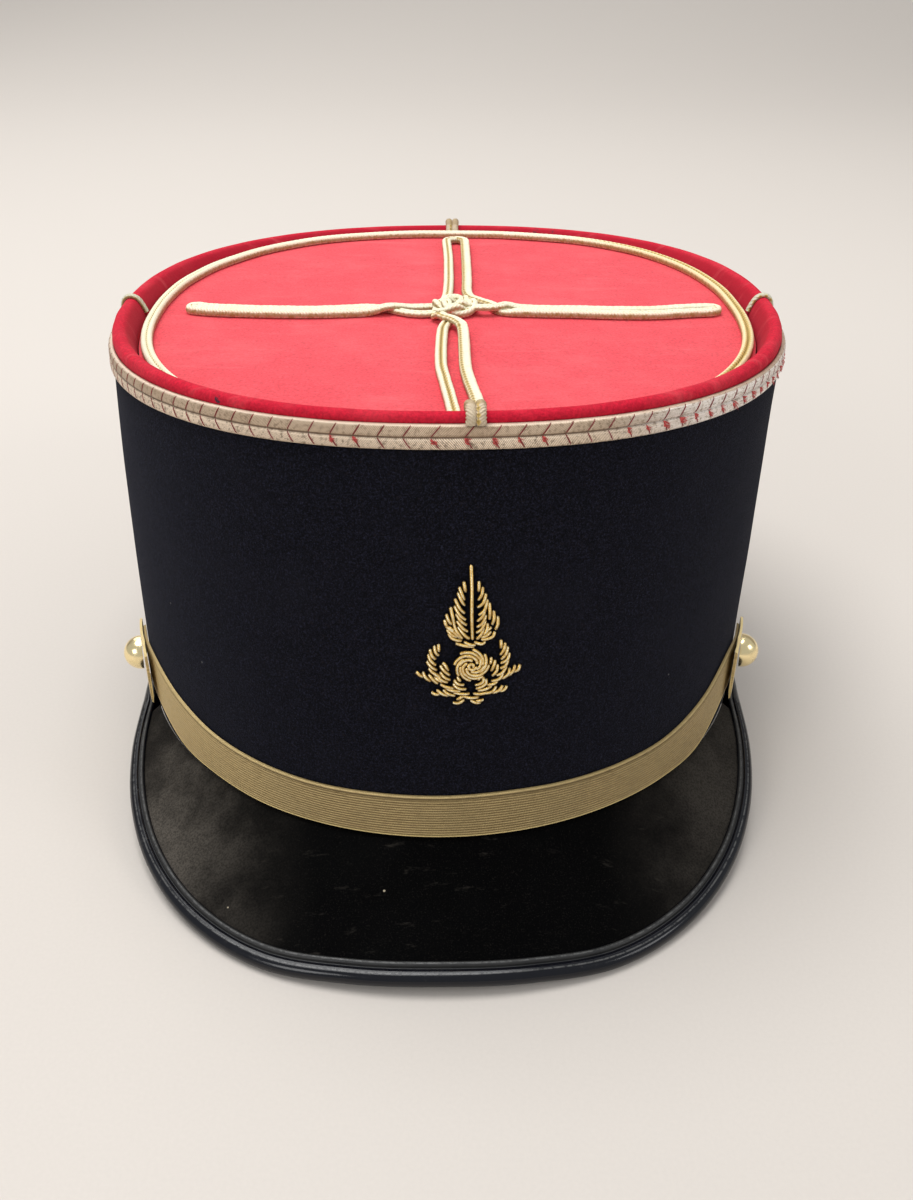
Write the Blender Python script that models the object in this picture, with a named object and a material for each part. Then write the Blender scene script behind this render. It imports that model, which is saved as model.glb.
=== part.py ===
"""A kepi cap: a black wool side wall, a sunk red top with a gold cord cross, a metal braid round
the top edge, a gold embroidered badge, a gold ribbon strap between two ball buttons, and a black
leather peak with a double bead.

Metres, +Z up, the peak toward -Y. The pieces are modelled in the cap's own frame, where the bottom
edge of the side wall lies in the plane z = 0. One empty carries them all and tips the cap the way
it lies on a table, on the underside of the peak and the back edge of the side wall.
"""

import math
from typing import NamedTuple

import bmesh
import bpy
from mathutils import Matrix, Vector

MM = 0.001

# How the cap lies on the table
REST_TILT = math.radians(5.49)
REST_SHIFT = Vector((-0.84 * MM, 6.05 * MM, 9.86 * MM))

# Side wall: an oval tube between its bottom edge (level 0) and the foot of the rim roll (level 1)
FOOT_HEIGHT = 100.1 * MM
FOOT_SLOPE = 0.028
WALL = 2.5 * MM
GAP = 0.3 * MM
SEAT = 0.4 * MM
ROUND_STEPS = 68
WALL_LEVELS = (0.35, 0.7)
SHARP_ANGLE = math.radians(50.0)

# Red top
DISC_DROP = 1.2 * MM
DISC_EXTRA_SLOPE = 0.0513
DISC_THICK = 1.8 * MM
DISC_INSET = 6.2 * MM
ROLL_INSET = 5.9 * MM
ROLL_LIP = 0.2 * MM
CREST_FRONT = 2.2 * MM
CREST_BACK = 6.8 * MM
CREST_FRONT_Y = -97.0 * MM
CREST_BACK_Y = 108.0 * MM

# Braid and cords
BRAID_WIDTH = 5.1 * MM
BRAID_LEVEL = 1.0 - BRAID_WIDTH / FOOT_HEIGHT
BRAID_OUT = 0.95 * MM
BRAID_GROOVE_OUT = 0.7 * MM
CORD_WIDTH = 3.1 * MM
CORD_HEIGHT = 2.0 * MM
CORD_PITCH = CORD_WIDTH + GAP
PRESSED = 0.5
CROSSING_LIFT = PRESSED * CORD_HEIGHT + GAP
OVAL_INSET = 9.4 * MM
OVAL_SIDE_SHIFT = 1.1 * MM
KNOT_CENTRE = (4.0 * MM, 4.2 * MM)
KNOT_RADIUS = 4.1 * MM
KNOT_SWING = 1.9 * MM
KNOT_RISE = 1.15 * MM
KNOT_BIGHTS = 4
KNOT_LEADS = 3
KNOT_STEPS = 90
KNOT_START_ANGLE = math.radians(45.0)
KNOT_HALF_WIDTH = 1.05 * MM
KNOT_HALF_THICK = 0.85 * MM
TURN_STEPS = 6
STUB_WIDTH = 4.2 * MM
STUB_THICK = 1.3 * MM
STUB_END_HEIGHT = 0.8 * MM
FRONT_STUB_ANGLE = 2.6
BACK_STUB_ANGLE = 179.4
LOOP_THICK = 1.4 * MM
LOOP_SIDES = 6
LOOP_ANGLE = 88.0
LOOP_STAND_OFF = 0.2 * MM

# Strap, tabs and buttons
STRAP_THICK = 0.7 * MM
STRAP_END_ANGLE = 73.0
STRAP_STEPS = 40
EDGE_ROUND = 0.3 * MM
TAB_EXTRA = 0.2 * MM
TAB_START_ANGLE = 60.5
TAB_END_ANGLE = 75.5
TAB_STEPS = 6
TAB_LIFT = 1.0 * MM
TAB_LIFT_SHARE = 0.4
BUTTON_ANGLE = 70.0
BUTTON_RADIUS = 4.7 * MM
BUTTON_CUT = 0.2 * MM
BUTTON_SEGMENTS = 18
BUTTON_RINGS = 11

# Peak
PEAK_SLOPE = math.radians(36.0)
PEAK_TOP = 0.5 * MM
PEAK_THICK = 1.8 * MM
PEAK_END_ANGLE = 78.0
PANEL_END_ANGLE = 66.0
PEAK_STEPS = 46
BEAD_REACH = 5.4 * MM
BEAD_ROOM = 0.6 * MM
PANEL_TUCK = 3.2 * MM

# Badge: raised gold embroidery, placed by x and height on the front of the side wall
RELIEF = 1.4 * MM
BALL_CENTRE = (6.9 * MM, 44.6 * MM)
BALL_RADIUS = 3.9 * MM
BALL_STEPS = 16
BADGE_SEARCH_ANGLE = 45.0
BADGE_SEARCH_STEPS = 40


class Outline(NamedTuple):
    """An oval: half sizes, fullness (2 is an ellipse), extra width at the back, and its centre."""

    half_width: float
    half_depth: float
    fullness: float
    back_width: float
    shift_x: float
    shift_y: float


BOTTOM = Outline(86.0 * MM, 103.0 * MM, 1.98, 0.001, 0.0, 0.0)
TOP = Outline(88.9 * MM, 102.4 * MM, 2.264, 0.018, 2.0 * MM, 5.6 * MM)


# Heights of the strap's lower and upper edge, in mm, at every 10 degrees from left to right
STRAP_LOWS = (
    8.0, 8.3, 7.0, 2.8, 1.9, 1.0, 0.9, 0.9, 0.9, 0.9, 0.9, 0.9, 1.0, 1.6, 7.6, 8.3, 8.0,
)
STRAP_HIGHS = (
    19.6, 20.2, 21.2, 17.9, 14.6, 12.9, 12.1, 12.1, 12.1, 12.4, 12.2, 12.4, 13.3, 16.8, 21.8, 20.2, 19.6,
)
STRAP_TABLE_START = -80.0
STRAP_TABLE_STEP = 10.0

# How far the peak stands out from the side wall, in mm, at every 10 degrees from the front
PEAK_WIDTHS = (27.1, 27.7, 28.6, 26.7, 22.6, 17.0, 10.6, 4.3, 1.6)
PEAK_WIDTH_STEP = 10.0


class CordRow(NamedTuple):
    """A station of a cord: where it lies, how far it is raised, and its share of full height."""

    x: float
    y: float
    lift: float = 0.0
    height: float = 1.0


class RingRow(NamedTuple):
    """A ring of the badge's ball: its share of the radius and of the relief."""

    radius: float
    rise: float


BALL_RINGS = (
    RingRow(1.0, 0.0),
    RingRow(0.95, 0.5),
    RingRow(0.7, 0.85),
    RingRow(0.35, 1.0),
)


class LeafRow(NamedTuple):
    """A station of an embroidered leaf: its place on the spine and its reach to either side."""

    x: float
    height: float
    left: float
    right: float


class Finish(NamedTuple):
    """The look of one material."""

    colour: tuple
    roughness: float
    metallic: float


FINISHES = {
    "black_wool": Finish((0.008, 0.008, 0.014), 0.95, 0.0),
    "red_cloth": Finish((0.55, 0.02, 0.05), 0.9, 0.0),
    "metal_braid": Finish((0.55, 0.42, 0.33), 0.4, 0.8),
    "gold_cord": Finish((0.80, 0.62, 0.28), 0.45, 0.7),
    "gold_bullion": Finish((0.78, 0.55, 0.20), 0.35, 0.9),
    "gold_ribbon": Finish((0.45, 0.32, 0.13), 0.45, 0.7),
    "peak_leather": Finish((0.02, 0.018, 0.016), 0.6, 0.0),
    "peak_bead": Finish((0.01, 0.01, 0.014), 0.15, 0.0),
    "brass": Finish((0.75, 0.53, 0.22), 0.2, 1.0),
}


# ---------------------------------------------------------------- shape of the side wall


def blend(first, second, share):
    return first + (second - first) * share


def signed_power(value, exponent):
    return math.copysign(abs(value) ** exponent, value)


def outline_point(angle, level):
    """Point of the side wall's oval, as x and y, at an angle where -90 degrees is the front."""
    oval = Outline(*(blend(low, high, level) for low, high in zip(BOTTOM, TOP)))
    across = signed_power(math.cos(angle), 2 / oval.fullness)
    along = signed_power(math.sin(angle), 2 / oval.fullness)
    x = oval.half_width * across * (1 + oval.back_width * along) + oval.shift_x * level
    return Vector((x, oval.half_depth * along + oval.shift_y * level, 0.0))


def outward(angle, level):
    """Direction square to the side wall, level with the table of its own frame."""
    near = 0.02
    run = outline_point(angle + near, level) - outline_point(angle - near, level)
    return Vector((run.y, -run.x, 0.0)).normalized()


def wall_point(angle, level, out=0.0, up=0.0):
    """A point moved out from the side wall and up from a level of it."""
    point = outline_point(angle, level)
    point.z = (FOOT_HEIGHT + FOOT_SLOPE * point.y) * level + up
    return point + outward(angle, level) * out


def wall_at(angle, height, out=0.0):
    """A point moved out from the side wall at a height over its bottom edge."""
    point = wall_point(angle, height / FOOT_HEIGHT, out=out)
    point.z = height
    return point


def from_front(degrees):
    """The oval's own angle of a place some degrees from the front."""
    return math.radians(degrees - 90.0)


def round_angles(steps):
    return [2 * math.pi * step / steps for step in range(steps)]


def front_angles(end, steps):
    """Angles from the left end round the front to the right end, in degrees from the front."""
    return [blend(-end, end, step / steps) for step in range(steps + 1)]


def disc_height(y):
    """Top face of the disc, a plane that drops toward the front."""
    return FOOT_HEIGHT - DISC_DROP + (FOOT_SLOPE + DISC_EXTRA_SLOPE) * y


def disc_up():
    """Direction square to the disc."""
    return Vector((0.0, -(FOOT_SLOPE + DISC_EXTRA_SLOPE), 1.0)).normalized()


def disc_from_foot(angle):
    """The top of the disc inside the rim roll, measured from the foot of the roll."""
    inner = wall_point(angle, 1.0, out=-ROLL_INSET)
    return disc_height(inner.y) - wall_point(angle, 1.0).z


# ---------------------------------------------------------------- building bodies


def material(name):
    found = bpy.data.materials.get(name)
    if found:
        return found
    finish = FINISHES[name]
    made = bpy.data.materials.new(name)
    made.use_nodes = True
    shader = made.node_tree.nodes["Principled BSDF"]
    shader.inputs["Base Color"].default_value = (*finish.colour, 1.0)
    shader.inputs["Roughness"].default_value = finish.roughness
    shader.inputs["Metallic"].default_value = finish.metallic
    return made


def add_object(name, bm, material_name, carrier):
    bmesh.ops.recalc_face_normals(bm, faces=bm.faces)
    mesh = bpy.data.meshes.new(name)
    bm.to_mesh(mesh)
    bm.free()
    mesh.shade_smooth()
    mesh.set_sharp_from_angle(angle=SHARP_ANGLE)
    mesh.materials.append(material(material_name))
    made = bpy.data.objects.new(name, mesh)
    made.parent = carrier
    bpy.context.collection.objects.link(made)
    return made


def loft(name, sections, material_name, carrier, closed=False):
    """One body through sections with equally many points, with flat ends unless it is closed."""
    bm = bmesh.new()
    rings = [[bm.verts.new(point) for point in section] for section in sections]
    following = rings[1:] + rings[:1] if closed else rings[1:]
    for ring, after in zip(rings, following):
        for corner, start in enumerate(ring):
            side = (corner + 1) % len(ring)
            bm.faces.new((start, ring[side], after[side], after[corner]))
    if not closed:
        bm.faces.new(rings[0])
        bm.faces.new(rings[-1])
    return add_object(name, bm, material_name, carrier)


def smooth_value(values, place, level_start=False):
    """A smooth curve through equally spaced values, read at a place counted in their steps. It
    runs straight off at both ends, or starts level."""
    span = min(int(place), len(values) - 2)
    start, end = values[span], values[span + 1]
    first = end if level_start else 2 * start - end
    before = values[span - 1] if span else first
    after = values[span + 2] if span + 2 < len(values) else 2 * end - start
    share = place - span
    start_run, end_run = (end - before) / 2, (after - start) / 2
    bend = 3 * (end - start) - 2 * start_run - end_run
    curl = 2 * (start - end) + start_run + end_run
    return start + share * (start_run + share * (bend + share * curl))


def smooth_route(points, steps):
    """Points on a smooth curve through the given points, with some steps between each two."""
    stations = range((len(points) - 1) * steps + 1)
    return [tuple(smooth_value(axis, i / steps) for axis in zip(*points)) for i in stations]


def ribbed(width, height):
    """Section of a flat cord with two ribs, standing on its underside."""
    half = width / 2
    return (
        (-half, 0.0),
        (-half, 0.55 * height),
        (-0.55 * half, height),
        (0.0, 0.7 * height),
        (0.55 * half, height),
        (half, 0.55 * height),
        (half, 0.0),
    )


def cord_on_disc(name, route, carrier, closed=False, section=None):
    """A cord laid on the disc along its stations."""
    points = [Vector((row.x, row.y, disc_height(row.y) + GAP + row.lift)) for row in route]
    up = disc_up()
    sections = []
    for i, (point, row) in enumerate(zip(points, route)):
        before = points[i - 1] if i or closed else point
        after = points[(i + 1) % len(points)] if closed or i + 1 < len(points) else point
        side = (after - before).cross(up).normalized()
        profile = section or ribbed(CORD_WIDTH, CORD_HEIGHT * row.height)
        sections.append([point + side * across + up * high for across, high in profile])
    return loft(name, sections, "gold_cord", carrier, closed)


# ---------------------------------------------------------------- pieces of the body


def add_side_wall(carrier):
    """A thin wall all round, open at the bottom and at the top."""
    sections = []
    for angle in round_angles(ROUND_STEPS):
        outside = [wall_point(angle, level) for level in (0.0, *WALL_LEVELS, BRAID_LEVEL)]
        rim = [wall_point(angle, 1.0, out=-inset, up=-GAP) for inset in (0.0, WALL)]
        inside = [wall_point(angle, level, out=-WALL) for level in (0.5, 0.0)]
        sections.append(outside + rim + inside)
    loft("side_wall", sections, "black_wool", carrier, closed=True)


def add_top_disc(carrier):
    """A flat disc inside the rim roll."""
    rim = [wall_point(angle, 1.0, out=-DISC_INSET) for angle in round_angles(ROUND_STEPS)]
    top = [Vector((point.x, point.y, disc_height(point.y))) for point in rim]
    bottom = [point - Vector((0.0, 0.0, DISC_THICK)) for point in top]
    loft("top_disc", [bottom, top], "red_cloth", carrier)


def crest_height(y):
    """How high the rim roll rises over its foot."""
    share = (y - CREST_FRONT_Y) / (CREST_BACK_Y - CREST_FRONT_Y)
    return blend(CREST_FRONT, CREST_BACK, share)


def roll_skin(angle):
    """The seen side of the rim roll, as (inset, height over the foot), from inside to outside."""
    crest = crest_height(wall_point(angle, 1.0).y)
    disc = disc_from_foot(angle)
    drop = crest - disc
    return (
        (ROLL_INSET, disc + ROLL_LIP),
        (4.9 * MM, crest - 0.5 * drop),
        (3.6 * MM, crest - 0.12 * drop),
        (2.0 * MM, crest),
        (0.7 * MM, 0.85 * crest),
        (0.2 * MM, 0.45 * crest),
        (0.4 * MM, 0.0),
    )


def add_rim_roll(carrier):
    sections = []
    for angle in round_angles(ROUND_STEPS):
        under = disc_from_foot(angle) - DISC_THICK
        behind_wall = WALL + GAP
        hidden = ((behind_wall, 0.0), (behind_wall + ROLL_LIP, under), (ROLL_INSET, under))
        profile = roll_skin(angle) + hidden
        sections.append([wall_point(angle, 1.0, out=-inset, up=high) for inset, high in profile])
    loft("rim_roll", sections, "red_cloth", carrier, closed=True)


def add_chevron_braid(carrier):
    """Two raised rows with a groove between them. The profile is (distance from the side wall,
    share of the braid's width)."""
    profile = (
        (GAP, 0.0),
        (BRAID_GROOVE_OUT, 0.0),
        (BRAID_OUT, 0.25),
        (BRAID_GROOVE_OUT, 0.5),
        (BRAID_OUT, 0.75),
        (BRAID_GROOVE_OUT, 1.0),
        (GAP, 1.0),
    )
    sections = [
        [wall_point(angle, blend(BRAID_LEVEL, 1.0, share), out=out) for out, share in profile]
        for angle in round_angles(ROUND_STEPS)
    ]
    loft("chevron_braid", sections, "metal_braid", carrier, closed=True)


# ---------------------------------------------------------------- cords of the top


def add_oval_cord(carrier):
    route = []
    for angle in round_angles(ROUND_STEPS):
        inset = OVAL_INSET - OVAL_SIDE_SHIFT * math.cos(angle) ** 2
        point = wall_point(angle, 1.0, out=-inset)
        route.append(CordRow(point.x, point.y))
    cord_on_disc("oval_cord", route, carrier, closed=True)


def plain_rows(points, steps):
    """Stations on a smooth curve through (x, y) points in mm."""
    return [CordRow(x * MM, y * MM) for x, y in smooth_route(points, steps)]


def crossing_rows(points, lift):
    """Pressed stations where one cord crosses another, through (x, y) points in mm."""
    return [CordRow(x * MM, y * MM, lift, PRESSED) for x, y in points]


def line_runs(line):
    """The direction of a line of (x, y) points at each of them."""
    ahead = line[1:] + line[-1:]
    behind = line[:1] + line[:-1]
    return [(Vector(after) - Vector(before)).normalized() for before, after in zip(behind, ahead)]


def add_arm(name, middle, over, under, carrier):
    """A doubled cord. It runs out from its crossing beside the middle line, round a tight tip
    and back, and over and under hold its two ends between the knot and the crossing."""
    half = CORD_PITCH / 2
    line = [Vector(point) * MM for point in smooth_route(middle, 3)]
    runs = line_runs(line)
    sides = [Vector((-run.y, run.x)) * half for run in runs]
    if (over[-1][1] - under[-1][1]) * sides[0].y < 0:
        sides = [-side for side in sides]
    ahead = runs[-1] * half
    turns = [math.pi * step / TURN_STEPS for step in range(1, TURN_STEPS)]
    tip = [line[-1] + ahead * math.sin(turn) + sides[-1] * math.cos(turn) for turn in turns]
    out = [point + side for point, side in zip(line, sides)]
    back = [point - side for point, side in zip(line, sides)]
    doubled = [CordRow(point.x, point.y) for point in out + tip + back[::-1]]
    start = crossing_rows(over, CROSSING_LIFT)
    end = crossing_rows(under, 0.0)
    cord_on_disc(name, start + doubled + end[::-1], carrier)


def add_arms(carrier):
    add_arm(
        "left_arm",
        (
            (-20.5, 4.0),
            (-30.0, 2.9),
            (-40.0, 2.5),
            (-51.0, 2.7),
            (-59.0, 3.5),
            (-65.0, 5.3),
            (-68.6, 7.0),
        ),
        ((-2.6, 6.2), (-5.4, 6.3), (-8.4, 6.2), (-10.8, 5.5), (-13.0, 4.2), (-15.2, 3.0)),
        ((-12.6, 4.1), (-14.0, 5.0), (-15.6, 5.7)),
        carrier,
    )
    add_arm(
        "right_arm",
        (
            (23.5, 2.4),
            (35.5, 1.7),
            (43.5, 1.2),
            (52.0, 1.0),
            (60.0, 1.4),
            (68.5, 2.9),
            (73.4, 3.6),
        ),
        ((10.9, 1.3), (12.6, 1.2), (14.2, 1.5), (16.4, 2.7), (18.6, 4.0)),
        ((15.6, 4.2), (16.8, 2.6), (18.6, 1.4)),
        carrier,
    )


def add_back_arm(carrier):
    """Two cords toward the back, joined by a U. The right one bends round the knot."""
    left = ((1.4, 11.8), (2.0, 20.0), (2.3, 34.0), (2.3, 50.0), (2.2, 65.0), (1.6, 87.0))
    right = (
        (7.8, 87.0),
        (7.9, 65.0),
        (7.9, 50.0),
        (7.8, 34.0),
        (7.6, 22.0),
        (8.4, 15.6),
        (10.8, 11.6),
        (14.4, 7.0),
    )
    middle_x, middle_y = (left[-1][0] + right[0][0]) / 2, left[-1][1]
    radius = (right[0][0] - left[-1][0]) / 2
    turn = []
    for step in range(1, TURN_STEPS):
        angle = math.pi * (1 - step / TURN_STEPS)
        x = middle_x + radius * math.cos(angle)
        y = middle_y + radius * math.sin(angle)
        turn.append(CordRow(x * MM, y * MM))
    cord_on_disc("back_arm", plain_rows(left, 2) + turn + plain_rows(right, 2), carrier)


def add_front_strands(carrier):
    """Two cords toward the front. The right one starts under the left arm and crosses over the
    left one."""
    left = ((0.6, -17.0), (0.3, -30.0), (0.4, -45.0), (1.3, -55.0), (2.7, -70.0), (4.0, -84.4))
    right = ((6.1, -18.0), (6.2, -30.0), (6.3, -45.0), (7.0, -55.0), (8.6, -70.0), (9.6, -84.2))
    left_start = crossing_rows(((2.4, -6.4), (1.6, -9.0), (1.0, -12.0)), 0.0)
    under_arm = crossing_rows(((-11.8, 3.5), (-9.6, 2.9)), 0.0)
    over_strand = crossing_rows(
        ((-4.4, 0.7), (-2.6, -1.7), (-0.4, -3.6), (2.2, -6.0), (4.4, -9.4), (5.6, -13.2)),
        CROSSING_LIFT,
    )
    rising = [CordRow(-7.2 * MM, 2.4 * MM, 0.3 * CROSSING_LIFT, PRESSED)]
    right_start = under_arm + rising + over_strand
    cord_on_disc("front_strand_left", left_start + plain_rows(left, 2), carrier)
    cord_on_disc("front_strand_right", right_start + plain_rows(right, 2), carrier)


def add_centre_knot(carrier):
    """A woven ring of three leads and four bights: one cord that passes over and under itself."""
    half = KNOT_HALF_WIDTH
    thick = KNOT_HALF_THICK
    section = (
        (-half, 0.0),
        (-0.5 * half, thick),
        (0.5 * half, thick),
        (half, 0.0),
        (0.5 * half, -thick),
        (-0.5 * half, -thick),
    )
    route = []
    for step in range(KNOT_STEPS):
        turn = 2 * math.pi * KNOT_LEADS * step / KNOT_STEPS
        weave = turn * KNOT_BIGHTS / KNOT_LEADS
        radius = KNOT_RADIUS + KNOT_SWING * math.cos(weave)
        place = turn + KNOT_START_ANGLE
        x = KNOT_CENTRE[0] + radius * math.cos(place)
        y = KNOT_CENTRE[1] + radius * math.sin(place)
        route.append(CordRow(x, y, thick + KNOT_RISE * (1 + math.sin(2 * weave))))
    cord_on_disc("centre_knot", route, carrier, closed=True, section=section)


def add_over_rim(name, angle, first, stand_off, profile, carrier):
    """A short cord that rises inside the rim roll, runs over it and ends above the braid. It
    starts at one of the points of the roll's skin, where it stands off the most."""
    base = wall_point(angle, 1.0)
    out = outward(angle, 1.0)
    along = Vector((-out.y, out.x, 0.0))
    skin = [Vector((-inset, high)) for inset, high in roll_skin(angle)]
    sections = []
    for i in range(first, len(skin)):
        point = skin[i]
        run = skin[min(i + 1, len(skin) - 1)] - skin[max(i - 1, 0)]
        away = Vector((-run.y, run.x)).normalized()
        inside = max(0.0, 1.0 - i / 3)
        seat = point + away * (SEAT + stand_off * inside)
        if i == len(skin) - 1:
            seat.y = max(seat.y, STUB_END_HEIGHT)
        sections.append(
            [
                base
                + out * (seat.x + away.x * high)
                + Vector((0.0, 0.0, seat.y + away.y * high))
                + along * across
                for across, high in profile
            ]
        )
    loft(name, sections, "gold_cord", carrier)


def add_rim_cords(carrier):
    stub = ribbed(STUB_WIDTH, STUB_THICK)
    half = LOOP_THICK / 2
    turns = round_angles(LOOP_SIDES)
    loop = [(half * math.cos(turn), half + half * math.sin(turn)) for turn in turns]
    add_over_rim("front_stub", from_front(FRONT_STUB_ANGLE), 0, 0.0, stub, carrier)
    add_over_rim("back_stub", from_front(BACK_STUB_ANGLE), 0, 0.0, stub, carrier)
    add_over_rim("left_loop", from_front(-LOOP_ANGLE), 1, LOOP_STAND_OFF, loop, carrier)
    add_over_rim("right_loop", from_front(LOOP_ANGLE), 1, LOOP_STAND_OFF, loop, carrier)


# ---------------------------------------------------------------- badge


def badge_point(x, height, out):
    """The point of the front of the side wall at this x and height, moved out from it."""
    low = from_front(-BADGE_SEARCH_ANGLE)
    high = from_front(BADGE_SEARCH_ANGLE)
    for _ in range(BADGE_SEARCH_STEPS):
        angle = (low + high) / 2
        if wall_at(angle, height).x < x:
            low = angle
        else:
            high = angle
    return wall_at(angle, height, out=out)


def add_leaf(name, rows, carrier):
    """A raised leaf: rows along its spine, domed across."""
    spine = [Vector((row.x, row.height)) for row in rows]
    sections = []
    for i, row in enumerate(rows):
        run = spine[min(i + 1, len(rows) - 1)] - spine[max(i - 1, 0)]
        side = Vector((-run.y, run.x)).normalized()
        places = (
            (row.left, 0.0),
            (0.6 * row.left, 0.8 * RELIEF),
            (0.0, RELIEF),
            (-0.6 * row.right, 0.8 * RELIEF),
            (-row.right, 0.0),
        )
        section = []
        for reach, rise in places:
            place = spine[i] + side * reach
            section.append(badge_point(place.x * MM, place.y * MM, SEAT + rise))
        sections.append(section)
    loft(name, sections, "gold_bullion", carrier)


def leaf_rows(table):
    return [LeafRow(*row) for row in table]


def add_badge(carrier):
    """Flaming ball between two sprigs. Rows are x, height, left reach and right reach in mm."""
    add_leaf(
        "badge_quill",
        leaf_rows(((6.9, 50.6, 0.3, 0.3), (6.9, 58.0, 0.4, 0.4), (6.8, 67.4, 0.3, 0.3))),
        carrier,
    )
    add_leaf(
        "badge_flame_left",
        leaf_rows(
            (
                (6.0, 49.6, 0.2, 0.2),
                (5.0, 50.6, 1.5, 0.9),
                (4.1, 52.6, 2.2, 1.6),
                (3.6, 55.0, 2.3, 2.0),
                (4.0, 57.6, 1.7, 1.5),
                (4.5, 60.0, 1.2, 1.1),
                (4.9, 62.2, 0.7, 0.8),
                (5.2, 63.9, 0.3, 0.3),
            )
        ),
        carrier,
    )
    add_leaf(
        "badge_flame_right",
        leaf_rows(
            (
                (7.8, 49.6, 0.2, 0.2),
                (8.8, 50.6, 0.9, 1.7),
                (9.7, 52.6, 1.6, 2.2),
                (10.1, 55.0, 2.0, 2.3),
                (9.7, 57.6, 1.6, 1.5),
                (9.2, 60.0, 1.1, 1.0),
                (8.8, 62.2, 0.7, 0.6),
                (8.5, 63.9, 0.3, 0.3),
            )
        ),
        carrier,
    )
    add_leaf(
        "badge_sprig_left",
        leaf_rows(
            (
                (2.6, 35.3, 0.3, 0.3),
                (5.6, 36.5, 0.5, 0.5),
                (3.6, 37.6, 2.8, 1.4),
                (1.4, 38.8, 1.8, 2.4),
                (-0.4, 40.6, 3.6, 2.0),
                (-1.4, 43.0, 1.2, 1.4),
                (-1.4, 45.6, 0.9, 1.3),
                (-0.9, 47.8, 0.8, 0.8),
                (-0.2, 49.8, 0.3, 0.3),
            )
        ),
        carrier,
    )
    add_leaf(
        "badge_sprig_right",
        leaf_rows(
            (
                (10.4, 35.3, 0.3, 0.3),
                (7.4, 36.5, 0.5, 0.5),
                (9.6, 37.6, 1.4, 2.8),
                (11.8, 38.8, 2.4, 1.8),
                (13.6, 40.6, 2.0, 3.6),
                (14.6, 43.0, 1.4, 1.2),
                (14.6, 45.6, 1.3, 0.9),
                (14.1, 47.8, 0.8, 0.8),
                (13.4, 49.8, 0.3, 0.3),
            )
        ),
        carrier,
    )
    rings = []
    for row in BALL_RINGS:
        ring = []
        for angle in round_angles(BALL_STEPS):
            x = BALL_CENTRE[0] + BALL_RADIUS * row.radius * math.cos(angle)
            height = BALL_CENTRE[1] + BALL_RADIUS * row.radius * math.sin(angle)
            ring.append(badge_point(x, height, SEAT + RELIEF * row.rise))
        rings.append(ring)
    loft("badge_ball", rings, "gold_bullion", carrier)


# ---------------------------------------------------------------- strap, tabs and buttons


def strap_edges(degrees):
    """Heights of the strap's lower and upper edge, which climb to the buttons."""
    place = (degrees - STRAP_TABLE_START) / STRAP_TABLE_STEP
    return [smooth_value(heights, place) * MM for heights in (STRAP_LOWS, STRAP_HIGHS)]


def strap_sections(stations, extra):
    """Sections of the strap with rounded edges on its outer face. A station is an angle from the
    front, and how far the inner face stands out."""
    sections = []
    for degrees, out in stations:
        angle = from_front(degrees)
        low, high = strap_edges(degrees)
        low -= extra
        high += extra
        face = out + STRAP_THICK
        places = (
            (out, low),
            (face - EDGE_ROUND, low),
            (face, low + EDGE_ROUND),
            (face, high - EDGE_ROUND),
            (face - EDGE_ROUND, high),
            (out, high),
        )
        sections.append([wall_at(angle, height, out=away) for away, height in places])
    return sections


def add_strap(carrier):
    """The strap, and over each end a tab whose front edge stands off it."""
    stations = [(degrees, GAP) for degrees in front_angles(STRAP_END_ANGLE, STRAP_STEPS)]
    loft("chin_strap", strap_sections(stations, 0.0), "gold_ribbon", carrier)
    for name, side in (("strap_tab_left", -1), ("strap_tab_right", 1)):
        stations = []
        for step in range(TAB_STEPS + 1):
            share = step / TAB_STEPS
            lift = TAB_LIFT * max(0.0, 1.0 - share / TAB_LIFT_SHARE)
            degrees = side * blend(TAB_START_ANGLE, TAB_END_ANGLE, share)
            stations.append((degrees, 2 * GAP + STRAP_THICK + lift))
        loft(name, strap_sections(stations, TAB_EXTRA), "gold_ribbon", carrier)


def add_button(name, side, carrier):
    """A ball with a flat back, seated on its tab."""
    bm = bmesh.new()
    bmesh.ops.create_uvsphere(
        bm, u_segments=BUTTON_SEGMENTS, v_segments=BUTTON_RINGS, radius=BUTTON_RADIUS
    )
    cut = bmesh.ops.bisect_plane(
        bm,
        geom=bm.verts[:] + bm.edges[:] + bm.faces[:],
        plane_co=(0.0, 0.0, -BUTTON_CUT),
        plane_no=(0.0, 0.0, -1.0),
        clear_outer=True,
    )
    rim = [part for part in cut["geom_cut"] if isinstance(part, bmesh.types.BMEdge)]
    bmesh.ops.contextual_create(bm, geom=rim)
    button = add_object(name, bm, "brass", carrier)
    degrees = side * BUTTON_ANGLE
    angle = from_front(degrees)
    tab_face = 2 * (GAP + STRAP_THICK)
    middle = sum(strap_edges(degrees)) / 2
    out = tab_face + GAP + BUTTON_CUT
    turn = outward(angle, 0.0).to_track_quat("Z", "Y").to_matrix().to_4x4()
    button.matrix_local = Matrix.Translation(wall_at(angle, middle, out=out)) @ turn


# ---------------------------------------------------------------- peak


def peak_width(degrees):
    """How far the peak's edge stands out from the side wall, at an angle from the front."""
    return smooth_value(PEAK_WIDTHS, abs(degrees) / PEAK_WIDTH_STEP, level_start=True) * MM


def peak_place(degrees, along, up):
    """A point of the peak: along its slope from the outer edge (inward is negative), and up from
    its top face, square to it."""
    width = peak_width(degrees)
    out = width + along * math.cos(PEAK_SLOPE) + up * math.sin(PEAK_SLOPE)
    fall = width * math.tan(PEAK_SLOPE) + along * math.sin(PEAK_SLOPE)
    high = PEAK_TOP - fall + up * math.cos(PEAK_SLOPE)
    return wall_point(from_front(degrees), 0.0, out=out, up=high)


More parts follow.
